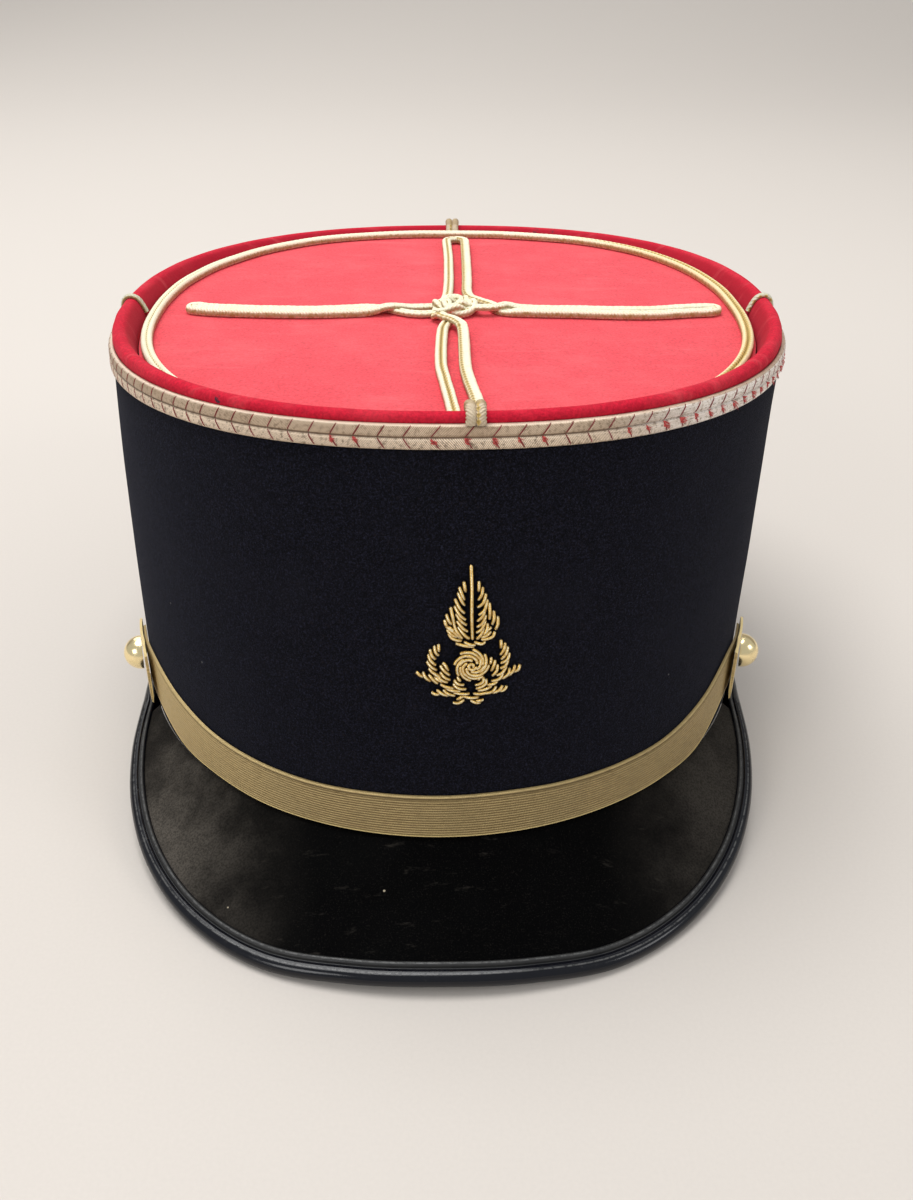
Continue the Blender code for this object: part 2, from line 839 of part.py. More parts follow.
def add_peak(carrier):
    """The leather panel, from the side wall to the slot in its binding."""
    sections = []
    for degrees in front_angles(PANEL_END_ANGLE, PEAK_STEPS):
        inner = (SEAT - peak_width(degrees)) / math.cos(PEAK_SLOPE)
        outer = -PANEL_TUCK
        middle = (inner + outer) / 2
        top = [peak_place(degrees, along, 0.0) for along in (inner, middle, outer)]
        under = [
            peak_place(degrees, outer, -PEAK_THICK),
            peak_place(degrees, middle, -PEAK_THICK),
            peak_place(degrees, inner + PEAK_THICK * math.tan(PEAK_SLOPE), -PEAK_THICK),
        ]
        sections.append(top + under)
    loft("peak", sections, "peak_leather", carrier)


def add_peak_binding(carrier):
    """A flat inner bead and a round outer roll, with a slot that holds the edge of the panel. The
    profile is (along the slope from the outer edge, up from the top face) in mm."""
    profile = (
        (-5.4, 0.3),
        (-5.1, 0.9),
        (-4.3, 1.0),
        (-3.7, 0.5),
        (-3.1, 1.05),
        (-1.7, 1.3),
        (-0.5, 0.7),
        (0.0, -0.6),
        (-0.5, -1.9),
        (-1.8, -2.6),
        (-4.8, -2.7),
        (-5.0, -2.1),
        (-2.9, -2.1),
        (-2.9, 0.3),
    )
    sections = []
    for degrees in front_angles(PEAK_END_ANGLE, PEAK_STEPS):
        room = peak_width(degrees) - BEAD_ROOM
        size = min(1.0, room / (BEAD_REACH * math.cos(PEAK_SLOPE)))
        sections.append(
            [peak_place(degrees, along * MM * size, up * MM * size) for along, up in profile]
        )
    loft("peak_binding", sections, "peak_bead", carrier)


# ---------------------------------------------------------------- the whole cap


def main():
    for thing in list(bpy.data.objects):
        bpy.data.objects.remove(thing)
    carrier = bpy.data.objects.new("kepi", None)
    bpy.context.collection.objects.link(carrier)
    carrier.location = REST_SHIFT
    carrier.rotation_euler = (-REST_TILT, 0.0, 0.0)
    add_side_wall(carrier)
    add_top_disc(carrier)
    add_rim_roll(carrier)
    add_chevron_braid(carrier)
    add_oval_cord(carrier)
    add_arms(carrier)
    add_back_arm(carrier)
    add_front_strands(carrier)
    add_centre_knot(carrier)
    add_rim_cords(carrier)
    add_badge(carrier)
    add_strap(carrier)
    add_button("button_left", -1, carrier)
    add_button("button_right", 1, carrier)
    add_peak(carrier)
    add_peak_binding(carrier)


if __name__ == "__main__":
    main()
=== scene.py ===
"""Looks of the kepi cap: cloth, braid, cords, embroidery, ribbon, leather and brass around the
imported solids.

The pieces are made in the cap's own frame, in metres, where the bottom edge of the side wall lies
in the plane z = 0 and the peak points toward -Y. LIE then tips them the way the cap lies.
"""

import math
import random
from typing import NamedTuple

import bmesh
import bpy
import numpy as np
from bpy.props import FloatProperty, FloatVectorProperty, IntProperty, PointerProperty
from mathutils import Matrix, Vector


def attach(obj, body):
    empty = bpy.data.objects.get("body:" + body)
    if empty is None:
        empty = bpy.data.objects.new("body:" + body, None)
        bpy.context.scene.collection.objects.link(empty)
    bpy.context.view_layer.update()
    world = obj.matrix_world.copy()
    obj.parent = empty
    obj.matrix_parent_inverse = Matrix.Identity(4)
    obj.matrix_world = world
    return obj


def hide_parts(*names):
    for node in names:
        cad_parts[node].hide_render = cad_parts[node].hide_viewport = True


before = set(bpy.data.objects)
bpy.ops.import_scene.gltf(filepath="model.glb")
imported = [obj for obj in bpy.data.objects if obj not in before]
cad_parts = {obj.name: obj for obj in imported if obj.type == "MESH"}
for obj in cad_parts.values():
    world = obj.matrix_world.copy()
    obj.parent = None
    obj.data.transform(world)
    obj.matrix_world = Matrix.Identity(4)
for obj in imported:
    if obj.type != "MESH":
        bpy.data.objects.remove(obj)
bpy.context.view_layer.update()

bl_info = {
    "name": "Kepi cap",
    "version": (1, 0, 0),
    "blender": (4, 5, 0),
    "location": "View3D > Sidebar > Kepi cap",
    "description": "Builds a kepi cap in wool, red cloth, gold cord, ribbon, leather and brass",
    "category": "Object",
}

MM = 0.001
MERGE = 0.002 * MM

# How the cap lies on the table
REST_TILT = math.radians(5.49)
REST_SHIFT = Vector((-0.84 * MM, 6.05 * MM, 9.86 * MM))
LIE = Matrix.Translation(REST_SHIFT) @ Matrix.Rotation(-REST_TILT, 4, "X")

# Side wall and red top
FOOT_HEIGHT = 100.1 * MM
FOOT_SLOPE = 0.028
WALL = 2.5 * MM
GAP = 0.3 * MM
DISC_DROP = 1.2 * MM
DISC_SLOPE = 0.0793
DISC_THICK = 1.8 * MM
DISC_INSET = 6.2 * MM
ROLL_INSET = 5.9 * MM
ROLL_INSETS = (5.9, 4.9, 3.6, 2.0, 0.7, 0.2, 0.4)  # mm, from the inside out
ROLL_RUN = 600.0 * MM
# Share of the rim roll, from its inside, that gets painted shade in a deeper red
ROLL_SHADED_INNER = 0.34
CREST_FRONT = 2.2 * MM
CREST_BACK = 6.8 * MM
CREST_FRONT_Y = -97.0 * MM
CREST_BACK_Y = 108.0 * MM
DISC_UP = Vector((0.0, -DISC_SLOPE, 1.0)).normalized()

# Braid and cords
BRAID_WIDTH = 5.1 * MM
BRAID_LEVEL = 1.0 - BRAID_WIDTH / FOOT_HEIGHT
BRAID_RADIUS = 96.0 * MM
THREAD_RADIUS = 0.12 * MM
FRAY_SEED = 11
FRAY_RADII = (0.05, 0.07, 0.07, 0.06, 0.05, 0.0)  # mm
REACH = np.linspace(0.0, 1.0, len(FRAY_RADII))
CORD_WIDTH = 3.1 * MM
CORD_HEIGHT = 2.0 * MM
CORD_PITCH = CORD_WIDTH + GAP
CORD_STEP = 0.3 * MM
PRESSED = 0.75
CROSSING_LIFT = 1.3 * MM
OVAL_INSET = 9.4 * MM
OVAL_SIDE_SHIFT = 1.1 * MM
KNOT_CENTRE = (4.0 * MM, 4.2 * MM)
KNOT_RADIUS = 3.9 * MM
KNOT_SWING = 1.45 * MM
KNOT_RISE = 1.15 * MM
KNOT_WIDTH = 3.1 * MM
KNOT_HEIGHT = 1.9 * MM

# Strap, tabs and buttons
STRAP_THICK = 0.7 * MM
STRAP_END_ANGLE = 73.0
TAB_EXTRA = 0.2 * MM
TAB_START_ANGLE = 60.5
TAB_END_ANGLE = 75.5
TAB_LIFT = 1.0 * MM
TAB_LIFT_SHARE = 0.4
STRAP_LINE = 0.93
BUTTON_ANGLE = 70.0
BUTTON_RADIUS = 4.7 * MM
BUTTON_CUT = 0.2 * MM
BUTTON_ARC = np.linspace(math.radians(-2), math.pi / 2, 22)
BUTTON_FOOT = ((0.0, -0.2), (4.2, -0.2), (4.62, -0.17))  # mm
STRAP_RADIUS = 94.0 * MM
# Heights of the strap's lower and upper edge, in mm, every 10 degrees from left to right
STRAP_LOWS = (8.0, 8.3, 7.0, 2.8, 1.9, 1.0, 0.9, 0.9, 0.9, 0.9, 0.9, 0.9, 1.0, 1.6, 7.6, 8.3, 8.0)
STRAP_HIGHS = (
    19.6, 20.2, 21.2, 17.9, 14.6, 12.9, 12.1, 12.1, 12.1, 12.4, 12.2, 12.4, 13.3, 16.8, 21.8,
    20.2, 19.6,
)
STRAP_TABLE_START = -80.0
STRAP_TABLE_STEP = 10.0

# Peak
PEAK_SLOPE = math.radians(36.0)
PEAK_TOP = 0.5 * MM
PEAK_THICK = 1.8 * MM
PEAK_END_ANGLE = 78.0
PANEL_END_ANGLE = 66.0
PANEL_TUCK = 3.2 * MM
PANEL_GAP = 0.05 * MM
BEAD_REACH = 5.4 * MM
BINDING_RUN = 240.0 * MM
PEAK_WIDTHS = (27.1, 27.7, 28.6, 26.7, 22.6, 17.0, 10.6, 4.3, 1.6)  # mm, every 10 degrees
PEAK_WIDTH_STEP = 10.0

# Badge, whose wires stand a little off the cloth and sink into it at both ends
WIRE_RADIUS = 0.44 * MM
WIRE_COIL = 0.34 * MM
WIRE_END_OUT = 0.45 * MM
WIRE_BULGE = 0.5 * MM
WIRE_LIFT = 0.8 * MM
BALL_CENTRE = (6.9, 44.6)
BALL_RADIUS = 4.1
BALL_OUT = 0.45 * MM
BALL_DOME = 1.05 * MM

# Camera, in the cap's own frame: where the photograph was taken from
CAMERA_PLACE = Vector((2.156 * MM, -324.692 * MM, 165.142 * MM))
CAMERA_DOWN = 0.43834
CAMERA_TURN = 0.00696
LENS = 35.0
SENSOR = 36.0

# Floor of the stage: flat, then bent up behind the cap, in metres
FLOOR_START = -8.0
FLOOR_RUN = 9.2
FLOOR_BEND = 3.0
FLOOR_WALL = 1.5
FLOOR_WIDTH = 20.0

# Colours that stay as they are
BROWN_FIBRE = (0.016, 0.012, 0.014)
# Painted shade in the grooves and along the edges of the gold cords
OCHRE_SHADE = (0.68, 0.44, 0.08)
AGED_CORD = (0.66, 0.53, 0.37), (0.42, 0.30, 0.15)
SILVER = (1.0, 0.93, 0.87)
SILVER_STREAK = (1.0, 0.93, 0.86)
WIRE_SHINE = (1.0, 0.94, 0.68)
STRAP_EDGE = (0.90, 0.70, 0.30)
DUST = (0.42, 0.36, 0.26)


class Oval(NamedTuple):
    """An oval: half sizes, fullness (2 is an ellipse), extra width at the back, and its centre."""

    half_width: float
    half_depth: float
    fullness: float
    back_width: float
    shift_x: float
    shift_y: float


BOTTOM = Oval(86.0 * MM, 103.0 * MM, 1.98, 0.001, 0.0, 0.0)
TOP = Oval(88.9 * MM, 102.4 * MM, 2.264, 0.018, 2.0 * MM, 5.6 * MM)


# ---------------------------------------------------------------- curves and stations


def spline(values, place, even=False):
    """A smooth curve through equally spaced values, read at places counted in steps."""
    values = np.asarray(values, float)
    place = np.asarray(place, float)
    if values.ndim == 1:
        values = np.repeat(values[:, None], len(place), axis=1)
    lead = values[1] if even else 2 * values[0] - values[1]
    padded = np.vstack([lead, values, 2 * values[-1] - values[-2]])
    span = np.clip(place.astype(int), 0, len(values) - 2)
    column = np.arange(len(place))
    before, start, end, after = (padded[span + k, column] for k in range(4))
    share = place - span
    start_run, end_run = (end - before) / 2, (after - start) / 2
    bend = 3 * (end - start) - 2 * start_run - end_run
    curl = 2 * (start - end) + start_run + end_run
    return start + share * (start_run + share * (bend + share * curl))


def straight(values, place):
    """Straight runs through equally spaced values, read at places counted in steps."""
    values = np.asarray(values, float)
    span = np.clip(place.astype(int), 0, len(values) - 2)
    column = np.arange(len(place))
    share = place - span
    return values[span, column] * (1 - share) + values[span + 1, column] * share


def curve(rows, steps=12):
    """Many rows on a smooth curve through a few rows."""
    rows = np.asarray(rows, float)
    place = np.linspace(0, len(rows) - 1, (len(rows) - 1) * steps + 1)
    return np.stack([spline(axis, place) for axis in rows.T], axis=-1)


def even_steps(rows, step, closed=False):
    """The same route with its rows at equal distances, judged by x and y."""
    rows = np.asarray(rows, float)
    if closed:
        rows = np.vstack([rows, rows[:1]])
    run = np.concatenate([[0.0], np.cumsum(np.hypot(*np.diff(rows[:, :2], axis=0).T))])
    count = max(int(round(run[-1] / step)), 2)
    at = np.linspace(0, run[-1], count + 1)
    return np.stack([np.interp(at, run, axis) for axis in rows.T], axis=-1), run[-1]


def unit(vectors):
    return vectors / np.linalg.norm(vectors, axis=-1, keepdims=True)


# ---------------------------------------------------------------- shape of the cap


def signed_power(value, exponent):
    return np.sign(value) * np.abs(value) ** exponent


def outline(angle, level):
    """x and y of the side wall's oval at an angle where -90 degrees is the front."""
    oval = [low + (high - low) * level for low, high in zip(BOTTOM, TOP)]
    half_width, half_depth, fullness, back_width, shift_x, shift_y = oval
    across = signed_power(np.cos(angle), 2 / fullness)
    along = signed_power(np.sin(angle), 2 / fullness)
    x = half_width * across * (1 + back_width * along) + shift_x * level
    return np.stack(np.broadcast_arrays(x, half_depth * along + shift_y * level), axis=-1)


def outward(angle, level):
    step = 0.02
    run = outline(angle + step, level) - outline(angle - step, level)
    side = unit(run)
    return np.stack([side[..., 1], -side[..., 0]], axis=-1)


def wall_point(angle, level, out=0.0, up=0.0):
    """Points moved out from the side wall and up from a level of it."""
    flat = outline(angle, level)
    high = (FOOT_HEIGHT + FOOT_SLOPE * flat[..., 1]) * level + up
    flat = flat + outward(angle, level) * np.asarray(out)[..., None]
    return np.concatenate([flat, np.broadcast_to(high, flat.shape[:-1])[..., None]], axis=-1)


def wall_at(angle, height, out=0.0):
    """Points moved out from the side wall at a height over its bottom edge."""
    point = wall_point(angle, height / FOOT_HEIGHT, out=out)
    point[..., 2] = height
    return point


def from_front(degrees):
    return np.radians(np.asarray(degrees, float) - 90.0)


def round_from_back(share):
    """Angle of a share of the way round the cap, with the seam at the back."""
    return math.pi / 2 + 2 * math.pi * share


def felt_swell(x, y):
    """The slight unevenness of the cloth of the top."""
    slow = np.sin(x * 61 + 0.6) * np.sin(y * 47 + 1.1)
    quick = np.sin(x * 148 + y * 90) * np.sin(y * 173 - x * 55 + 2.0)
    return (0.16 * slow + 0.07 * quick) * MM


def disc_height(y):
    return FOOT_HEIGHT - DISC_DROP + DISC_SLOPE * y


def disc_from_foot(angle):
    """The top of the disc inside the rim roll, measured from the foot of the roll."""
    inner = wall_point(angle, 1.0, out=np.full_like(angle, -ROLL_INSET))
    return disc_height(inner[..., 1]) - wall_point(angle, 1.0)[..., 2]


def roll_skin(angle):
    """The seen side of the rim roll, as insets and heights over the foot, from the inside out."""
    y = wall_point(angle, 1.0)[..., 1]
    share = (y - CREST_FRONT_Y) / (CREST_BACK_Y - CREST_FRONT_Y)
    crest = CREST_FRONT + (CREST_BACK - CREST_FRONT) * share
    disc = disc_from_foot(angle)
    drop = crest - disc
    heights = [disc + 0.2 * MM, crest - 0.5 * drop, crest - 0.12 * drop]
    heights += [part * crest for part in (1.0, 0.85, 0.45, 0.0)]
    insets = np.array(ROLL_INSETS) * MM
    return np.repeat(insets[:, None], len(angle), axis=1), np.stack(heights)


def strap_edges(degrees):
    """Heights of the strap's lower and upper edge, which climb to the buttons."""
    place = (np.atleast_1d(degrees) - STRAP_TABLE_START) / STRAP_TABLE_STEP
    return [spline(heights, place) * MM for heights in (STRAP_LOWS, STRAP_HIGHS)]


def peak_width(degrees):
    return spline(PEAK_WIDTHS, np.abs(degrees) / PEAK_WIDTH_STEP, even=True) * MM


def peak_place(degrees, along, up):
    """Points of the peak: along its slope from the outer edge (inward is negative), and up from
    its top face, square to it."""
    width = peak_width(degrees)
    out = width + along * math.cos(PEAK_SLOPE) + up * math.sin(PEAK_SLOPE)
    fall = width * math.tan(PEAK_SLOPE) + along * math.sin(PEAK_SLOPE)
    high = PEAK_TOP - fall + up * math.cos(PEAK_SLOPE)
    return wall_point(from_front(degrees), 0.0, out=out, up=high)


# ---------------------------------------------------------------- making meshes


def add_sheet(bm, columns, rows, place, unfold=None):
    """Adds a grid to the mesh and moves its points, at u and v from 0 to 1, to their places."""
    made = bmesh.ops.create_grid(
        bm, x_segments=columns, y_segments=rows, size=0.5, calc_uvs=False
    )["verts"]
    at = np.array([vert.co[:2] for vert in made]) + 0.5
    if unfold:
        layer = bm.loops.layers.uv.verify()
        flat = dict(zip(made, np.stack(unfold(at[:, 0], at[:, 1]), axis=-1)))
        for face in {face for vert in made for face in vert.link_faces}:
            for loop in face.loops:
                loop[layer].uv = flat[loop.vert]
    for vert, point in zip(made, place(at[:, 0], at[:, 1])):
        vert.co = point


def finish_piece(name, bm, look, nodes, crease=None):
    """Turns the mesh into a piece that lies as the cap does and stands for the named nodes."""
    bmesh.ops.remove_doubles(bm, verts=bm.verts, dist=MERGE)
    bmesh.ops.recalc_face_normals(bm, faces=bm.faces)
    mesh = bpy.data.meshes.new(name)
    bm.to_mesh(mesh)
    bm.free()
    mesh.transform(LIE)
    mesh.shade_smooth()
    if crease:
        mesh.set_sharp_from_angle(angle=math.radians(crease))
    mesh.materials.append(look)
    piece = bpy.data.objects.new(name, mesh)
    bpy.context.scene.collection.objects.link(piece)
    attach(piece, "root")
    if nodes:
        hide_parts(*nodes)


def sheet_piece(name, cells, place, look, node, slot, unfold=None, crease=None):
    """Makes a piece from one grid of columns and rows. One with a crease gets closed ends."""
    bm = bmesh.new()
    add_sheet(bm, *cells, place, unfold)
    if crease:
        bmesh.ops.remove_doubles(bm, verts=bm.verts, dist=MERGE)
        bmesh.ops.holes_fill(bm, edges=bm.edges, sides=0)
    finish_piece(name, bm, look, [node], crease)


def add_tube(bm, path, radius, sides, up=(0.0, 0.0, 1.0)):
    """Adds a round strand along a path. A radius of zero closes an end. The UV map holds metres
    along the strand and the share of the way round it."""
    path = np.asarray(path, float)
    run = unit(np.gradient(path, axis=0))
    side = unit(np.cross(run, np.asarray(up, float)))
    lift = np.cross(side, run)
    radius = np.broadcast_to(radius, len(path))
    length = np.linalg.norm(np.diff(path, axis=0), axis=1).sum()

    def place(u, v):
        station = np.rint(u * (len(path) - 1)).astype(int)
        turn = 2 * np.pi * v
        ring = side[station] * np.cos(turn)[:, None] + lift[station] * np.sin(turn)[:, None]
        return path[station] + ring * radius[station][:, None]

    add_sheet(bm, len(path) - 1, sides, place, lambda u, v: (u * length, v))


# ---------------------------------------------------------------- materials


class Signal:
    """An output of a material's nodes. Arithmetic on it adds Math nodes."""

    def __init__(self, look, socket):
        self.look = look
        self.socket = socket

    def maths(self, operation, *values):
        return self.look.node("ShaderNodeMath", {"operation": operation}, dict(enumerate(values)))

    def __add__(self, other):
        return self.maths("ADD", self, other)

    __radd__ = __add__

    def __sub__(self, other):
        return self.maths("SUBTRACT", self, other)

    def __rsub__(self, other):
        return self.maths("SUBTRACT", other, self)

    def __mul__(self, other):
        return self.maths("MULTIPLY", self, other)

    __rmul__ = __mul__

    def __abs__(self):
        return self.maths("ABSOLUTE", self)

    def sine(self):
        return self.maths("SINE", self)

    def over(self, limit):
        return self.maths("GREATER_THAN", self, limit)

    def at_most(self, limit):
        return self.maths("MINIMUM", self, limit)

    def at_least(self, limit):
        return self.maths("MAXIMUM", self, limit)

    def fade(self, low, high, first=0.0, last=1.0):
        """Runs from first to last, smoothly, while the signal runs from low to high."""
        settings = {"interpolation_type": "SMOOTHSTEP"}
        sockets = {0: self, 1: low, 2: high, 3: first, 4: last}
        return self.look.node("ShaderNodeMapRange", settings, sockets)


class Look:
    """A material, and the nodes that it is made of."""

    def __init__(self, name, roughness=0.5, metallic=0.0, **constants):
        self.material = bpy.data.materials.new(name)
        self.material.use_nodes = True
        self.tree = self.material.node_tree
        self.shader = self.tree.nodes["Principled BSDF"]
        constants |= {"Roughness": roughness, "Metallic": metallic}
        for socket, value in constants.items():
            self.shader.inputs[socket.replace("_", " ")].default_value = value

    def node(self, kind, settings=None, sockets=None, output=0):
        made = self.tree.nodes.new(kind)
        for key, value in (settings or {}).items():
            setattr(made, key, value)
        for key, value in (sockets or {}).items():
            self.feed(made.inputs[key], value)
        return Signal(self, made.outputs[output])

    def feed(self, socket, value):
        if isinstance(value, Signal):
            self.tree.links.new(value.socket, socket)
        else:
            socket.default_value = value

    def paint(self, colour, bump=None, roughness=None):
        for name, value in ("Base Color", colour), ("Normal", bump), ("Roughness", roughness):
            if value:
                self.feed(self.shader.inputs[name], value)
        return self.material

    def coordinates(self, output="Object"):
        return self.node("ShaderNodeTexCoord", output=output)

    def mapped(self, vector, scale, turn=(0, 0, 0)):
        sockets = {"Vector": vector, "Scale": scale, "Rotation": turn}
        return self.node("ShaderNodeMapping", None, sockets)

    def split(self, vector):
        made = self.node("ShaderNodeSeparateXYZ", None, {"Vector": vector})
        return [Signal(self, made.socket.node.outputs[axis]) for axis in range(3)]

    def along_across(self):
        return self.split(self.coordinates("UV"))[:2]

    def noise(self, vector, grain, detail=2.0, roughness=0.5):
        """Noise whose lumps are about as large as the grain, in metres."""
        sockets = {"Vector": vector, "Scale": 1 / grain, "Detail": detail, "Roughness": roughness}
        return self.node("ShaderNodeTexNoise", None, sockets)

    def cells(self, vector, grain, feature="F1"):
        sockets = {"Vector": vector, "Scale": 1 / grain}
        return self.node("ShaderNodeTexVoronoi", {"feature": feature}, sockets)

    def specks(self, vector, spacing, size, patch, least):
        """Small round specks, in patches."""
        return self.cells(vector, spacing).fade(0.03, size, 1.0, 0.0) * self.noise(
            vector, patch
        ).over(least)

    def mix(self, share, first, second):
        settings = {"data_type": "RGBA"}
        sockets = {0: share, 6: self.opaque(first), 7: self.opaque(second)}
        return self.node("ShaderNodeMix", settings, sockets, output=2)

    def opaque(self, colour):
        return colour if isinstance(colour, Signal) else (*colour, 1.0)

    def layers(self, tint, *coats):
        """Lays coats of colour over a tint, each with the share that it covers."""
        for share, colour in coats:
            tint = self.mix(share, tint, colour)
        return tint

    def bump(self, height, distance, strength=1.0):
        sockets = {"Height": height, "Distance": distance, "Strength": strength}
        return self.node("ShaderNodeBump", None, sockets)

    def spots(self, vector, places):
        """1 inside any of the places, each an (x, y, z, radius) in the cap's own frame."""
        found = None
        for x, y, z, radius in places:
            sockets = {0: vector, 1: LIE @ Vector((x, y, z))}
            away = self.node("ShaderNodeVectorMath", {"operation": "DISTANCE"}, sockets, 1)
            spot = away.fade(radius * 0.6, radius, 1.0, 0.0)
            found = found.at_least(spot) if found else spot
        return found


def shade(colour, factor):
    return tuple(channel * factor for channel in colour)


def wool_look(colours):
    look = Look(
        "black_wool_nap",
        roughness=0.95,
        Sheen_Weight=0.05,
        Sheen_Roughness=0.45,
        Sheen_Tint=(0.5, 0.55, 0.8, 1.0),
        Specular_IOR_Level=0.08,
    )
    at = look.coordinates()
    fibres = look.noise(at, 0.5 * MM, 4.0, 0.8)
    tufts = look.noise(at, 2.2 * MM, 3.0, 0.6)
    wear = look.noise(at, 24 * MM, 3.0, 0.6)
    grain = look.noise(at, 0.28 * MM, 3.0, 0.8)
    brown = look.noise(at, 0.6 * MM, 2.0, 0.6)
    cloth = look.layers(
        shade(colours.wool, 0.45),
        (fibres.fade(0.46, 0.76), colours.wool_fibre),
        (brown.fade(0.56, 0.72, 0.0, 0.5), BROWN_FIBRE),
        (grain.fade(0.52, 0.68, 0.0, 0.6), shade(colours.wool_fibre, 1.2)),
        (wear.fade(0.45, 0.8, 0.0, 0.35), shade(colours.wool, 2.4)),
        (look.specks(at, 5.5 * MM, 0.055, 9 * MM, 0.63) * 0.4, colours.lint),
    )
    nap = fibres * 0.7 + tufts * 0.5 + grain * 0.4
    return look.paint(cloth, look.bump(nap, 0.35 * MM, 0.8))


def felt_look(name, colour, colours, stains=(), worn=0.25, inner=None):
    """Napped red cloth. Inner is the share of a piece's UV height, from its start, that gets
    painted shade: a deeper red for the shaded inside of the rim roll."""
    look = Look(
        name,
        roughness=0.9,
        Sheen_Weight=0.04 if inner else 0.12,
        Sheen_Roughness=0.5,
        Sheen_Tint=(1.0, 0.62, 0.66, 1.0),
        Specular_IOR_Level=0.1 if inner else 0.2,
    )
    at = look.coordinates()
    fibres = look.noise(at, 0.7 * MM, 4.0, 0.7)
    lumps = look.noise(at, 2.4 * MM, 4.0, 0.7)
    clouds = look.noise(at, 17 * MM, 4.0, 0.6)
    streaks = look.noise(look.mapped(at, (1, 5, 1), (0, 0, 0.35)), 22 * MM, 3.0, 0.6)
    coats = [
        (fibres.fade(0.3, 0.7), shade(colour, 1.2)),
        (lumps.fade(0.4, 0.66, 0.0, 0.3), shade(colour, 0.72)),
        (clouds.fade(0.4, 0.75, 0.0, worn), colours.red_worn),
    ]
    if inner:
        # Painted shade: the inner side of the rim roll in a deeper red
        across = look.along_across()[1]
        coats.append((across.fade(inner * 0.6, inner, 0.75, 0.0), shade(colour, 0.62)))
    coats.append((streaks.fade(0.55, 0.75, 0.0, 0.22), colours.red_worn))
    coats.append((look.specks(at, 6.5 * MM, 0.05, 11 * MM, 0.6) * 0.3, colours.lint))
    if stains:
        ragged = look.noise(at, 1.1 * MM, 3.0, 0.7).fade(0.42, 0.5)
        coats.append((look.spots(at, stains) * ragged, colours.stain))
    cloth = look.layers(shade(colour, 0.74), *coats)
    nap = fibres * 0.8 + look.noise(at, 3.0 * MM, 3.0) * 0.4
    return look.paint(cloth, look.bump(nap, 0.3 * MM, 0.5))


def plait_look(
    name, pale, mid, deep, dash=1.7 * MM, groove=0.16 * MM, half=1.55 * MM, shift=0.0,
    shift_from=None, open_right=None, fold=None
):
    """Gold cord of two plaited ribs. The UV map holds metres along and across the cord. Shift
    moves the groove off the middle, to the right of shift_from where that is given. The groove
    opens to open_right on the right side of the cap, and fold is a golden stretch of a cord, as
    its place along it and its reach."""
    look = Look(name, roughness=0.5, metallic=0.1)
    along, across = look.along_across()
    beside = abs(across)
    at = look.coordinates()
    if shift_from:
        shift = look.split(at)[0].over(shift_from) * shift
    aside = abs(across - shift) if shift else beside
    beat = (along * (2 * math.pi / dash)).sine()
    strands = ((along + beside * 1.2) * (4 * math.pi / dash)).sine()
    fine = ((along - beside * 1.4) * (2 * math.pi / (0.24 * MM))).sine()
    mottle = look.noise(at, 0.9 * MM, 4.0, 0.7)
    patches = look.noise(at, 12 * MM, 2.0, 0.5)
    shaded = strands.fade(-1.0, 0.2, 0.16, 0.0) + patches.fade(0.5, 0.75, 0.0, 0.15)
    coats = [(shaded.at_most(1.0), mid), (mottle.fade(0.52, 0.7, 0.0, 0.35), mid)]
    width = groove
    if open_right:
        right = look.split(at)[0].fade(0.035, 0.07)
        width = right * (open_right - groove) + groove
        coats.append((right * 0.6, shade(mid, 1.08)))
    # Painted shade: ochre and dashed deep colour in the groove between the ribs, and darker
    # mottled edges where the cord meets the cloth
    groove_shade = (aside - beat * (0.12 * MM)).fade(width * 1.3, width * 2.6, 1.0, 0.0)
    dashes = beat.fade(-0.6, 0.3, 0.2, 1.0) * mottle.fade(0.35, 0.55, 0.3, 1.0)
    sunk = (aside - beat * (0.07 * MM)).fade(width * 0.5, width * 1.2, 1.0, 0.0) * dashes
    edge_shade = beside.fade(half * 0.86, half * 0.95) * mottle.fade(0.45, 0.6, 0.0, 0.7)
    edge = beside.fade(half * 0.9, half * 1.0)
    coats.append((groove_shade * mottle.fade(0.35, 0.6, 0.95, 0.6), OCHRE_SHADE))
    coats.append((edge_shade, shade(OCHRE_SHADE, 0.6)))
    coats.append(((sunk * 0.9).at_least(edge * 0.8), deep))
    if fold:
        gold = abs(along - fold[0]).fade(fold[1] * 0.7, fold[1], 0.75, 0.0)
        coats.append((gold, shade(mid, 0.95)))
    relief = look.bump(strands * 0.5 + fine * 0.15 + mottle * 0.5, 0.16 * MM, 0.8)
    return look.paint(look.layers(pale, *coats), relief, mottle.fade(0.3, 0.7, 0.4, 0.6))


# ---------------------------------------------------------------- sizes and colours to change


def length(name, description, default, low=0.0, high=0.05):
    return FloatProperty(
        name=name,
        description=description,
        default=default,
        min=low,
        max=high,
        unit="LENGTH",
        precision=5,
    )


def tint(name, description, default):
    return FloatVectorProperty(
        name=name,
        description=description,
        default=default,
        size=3,
        min=0.0,
        max=1.0,
        subtype="COLOR",
    )


class KepiSizes(bpy.types.PropertyGroup):
    """Sizes of the trimmings."""

    wall_waviness: length("Wall waviness", "How far the wool swells in and out", 0.1 * MM)
    chevron_pitch: length("Chevron pitch", "Distance between two chevrons of the braid", 5.0 * MM)
    cord_strand: length("Cord strand", "Length of one strand of the plaited cord", 1.7 * MM)
    strap_ribs: IntProperty(
        name="Strap ribs", description="Ribs across the chin strap", default=17, min=4, max=40
    )


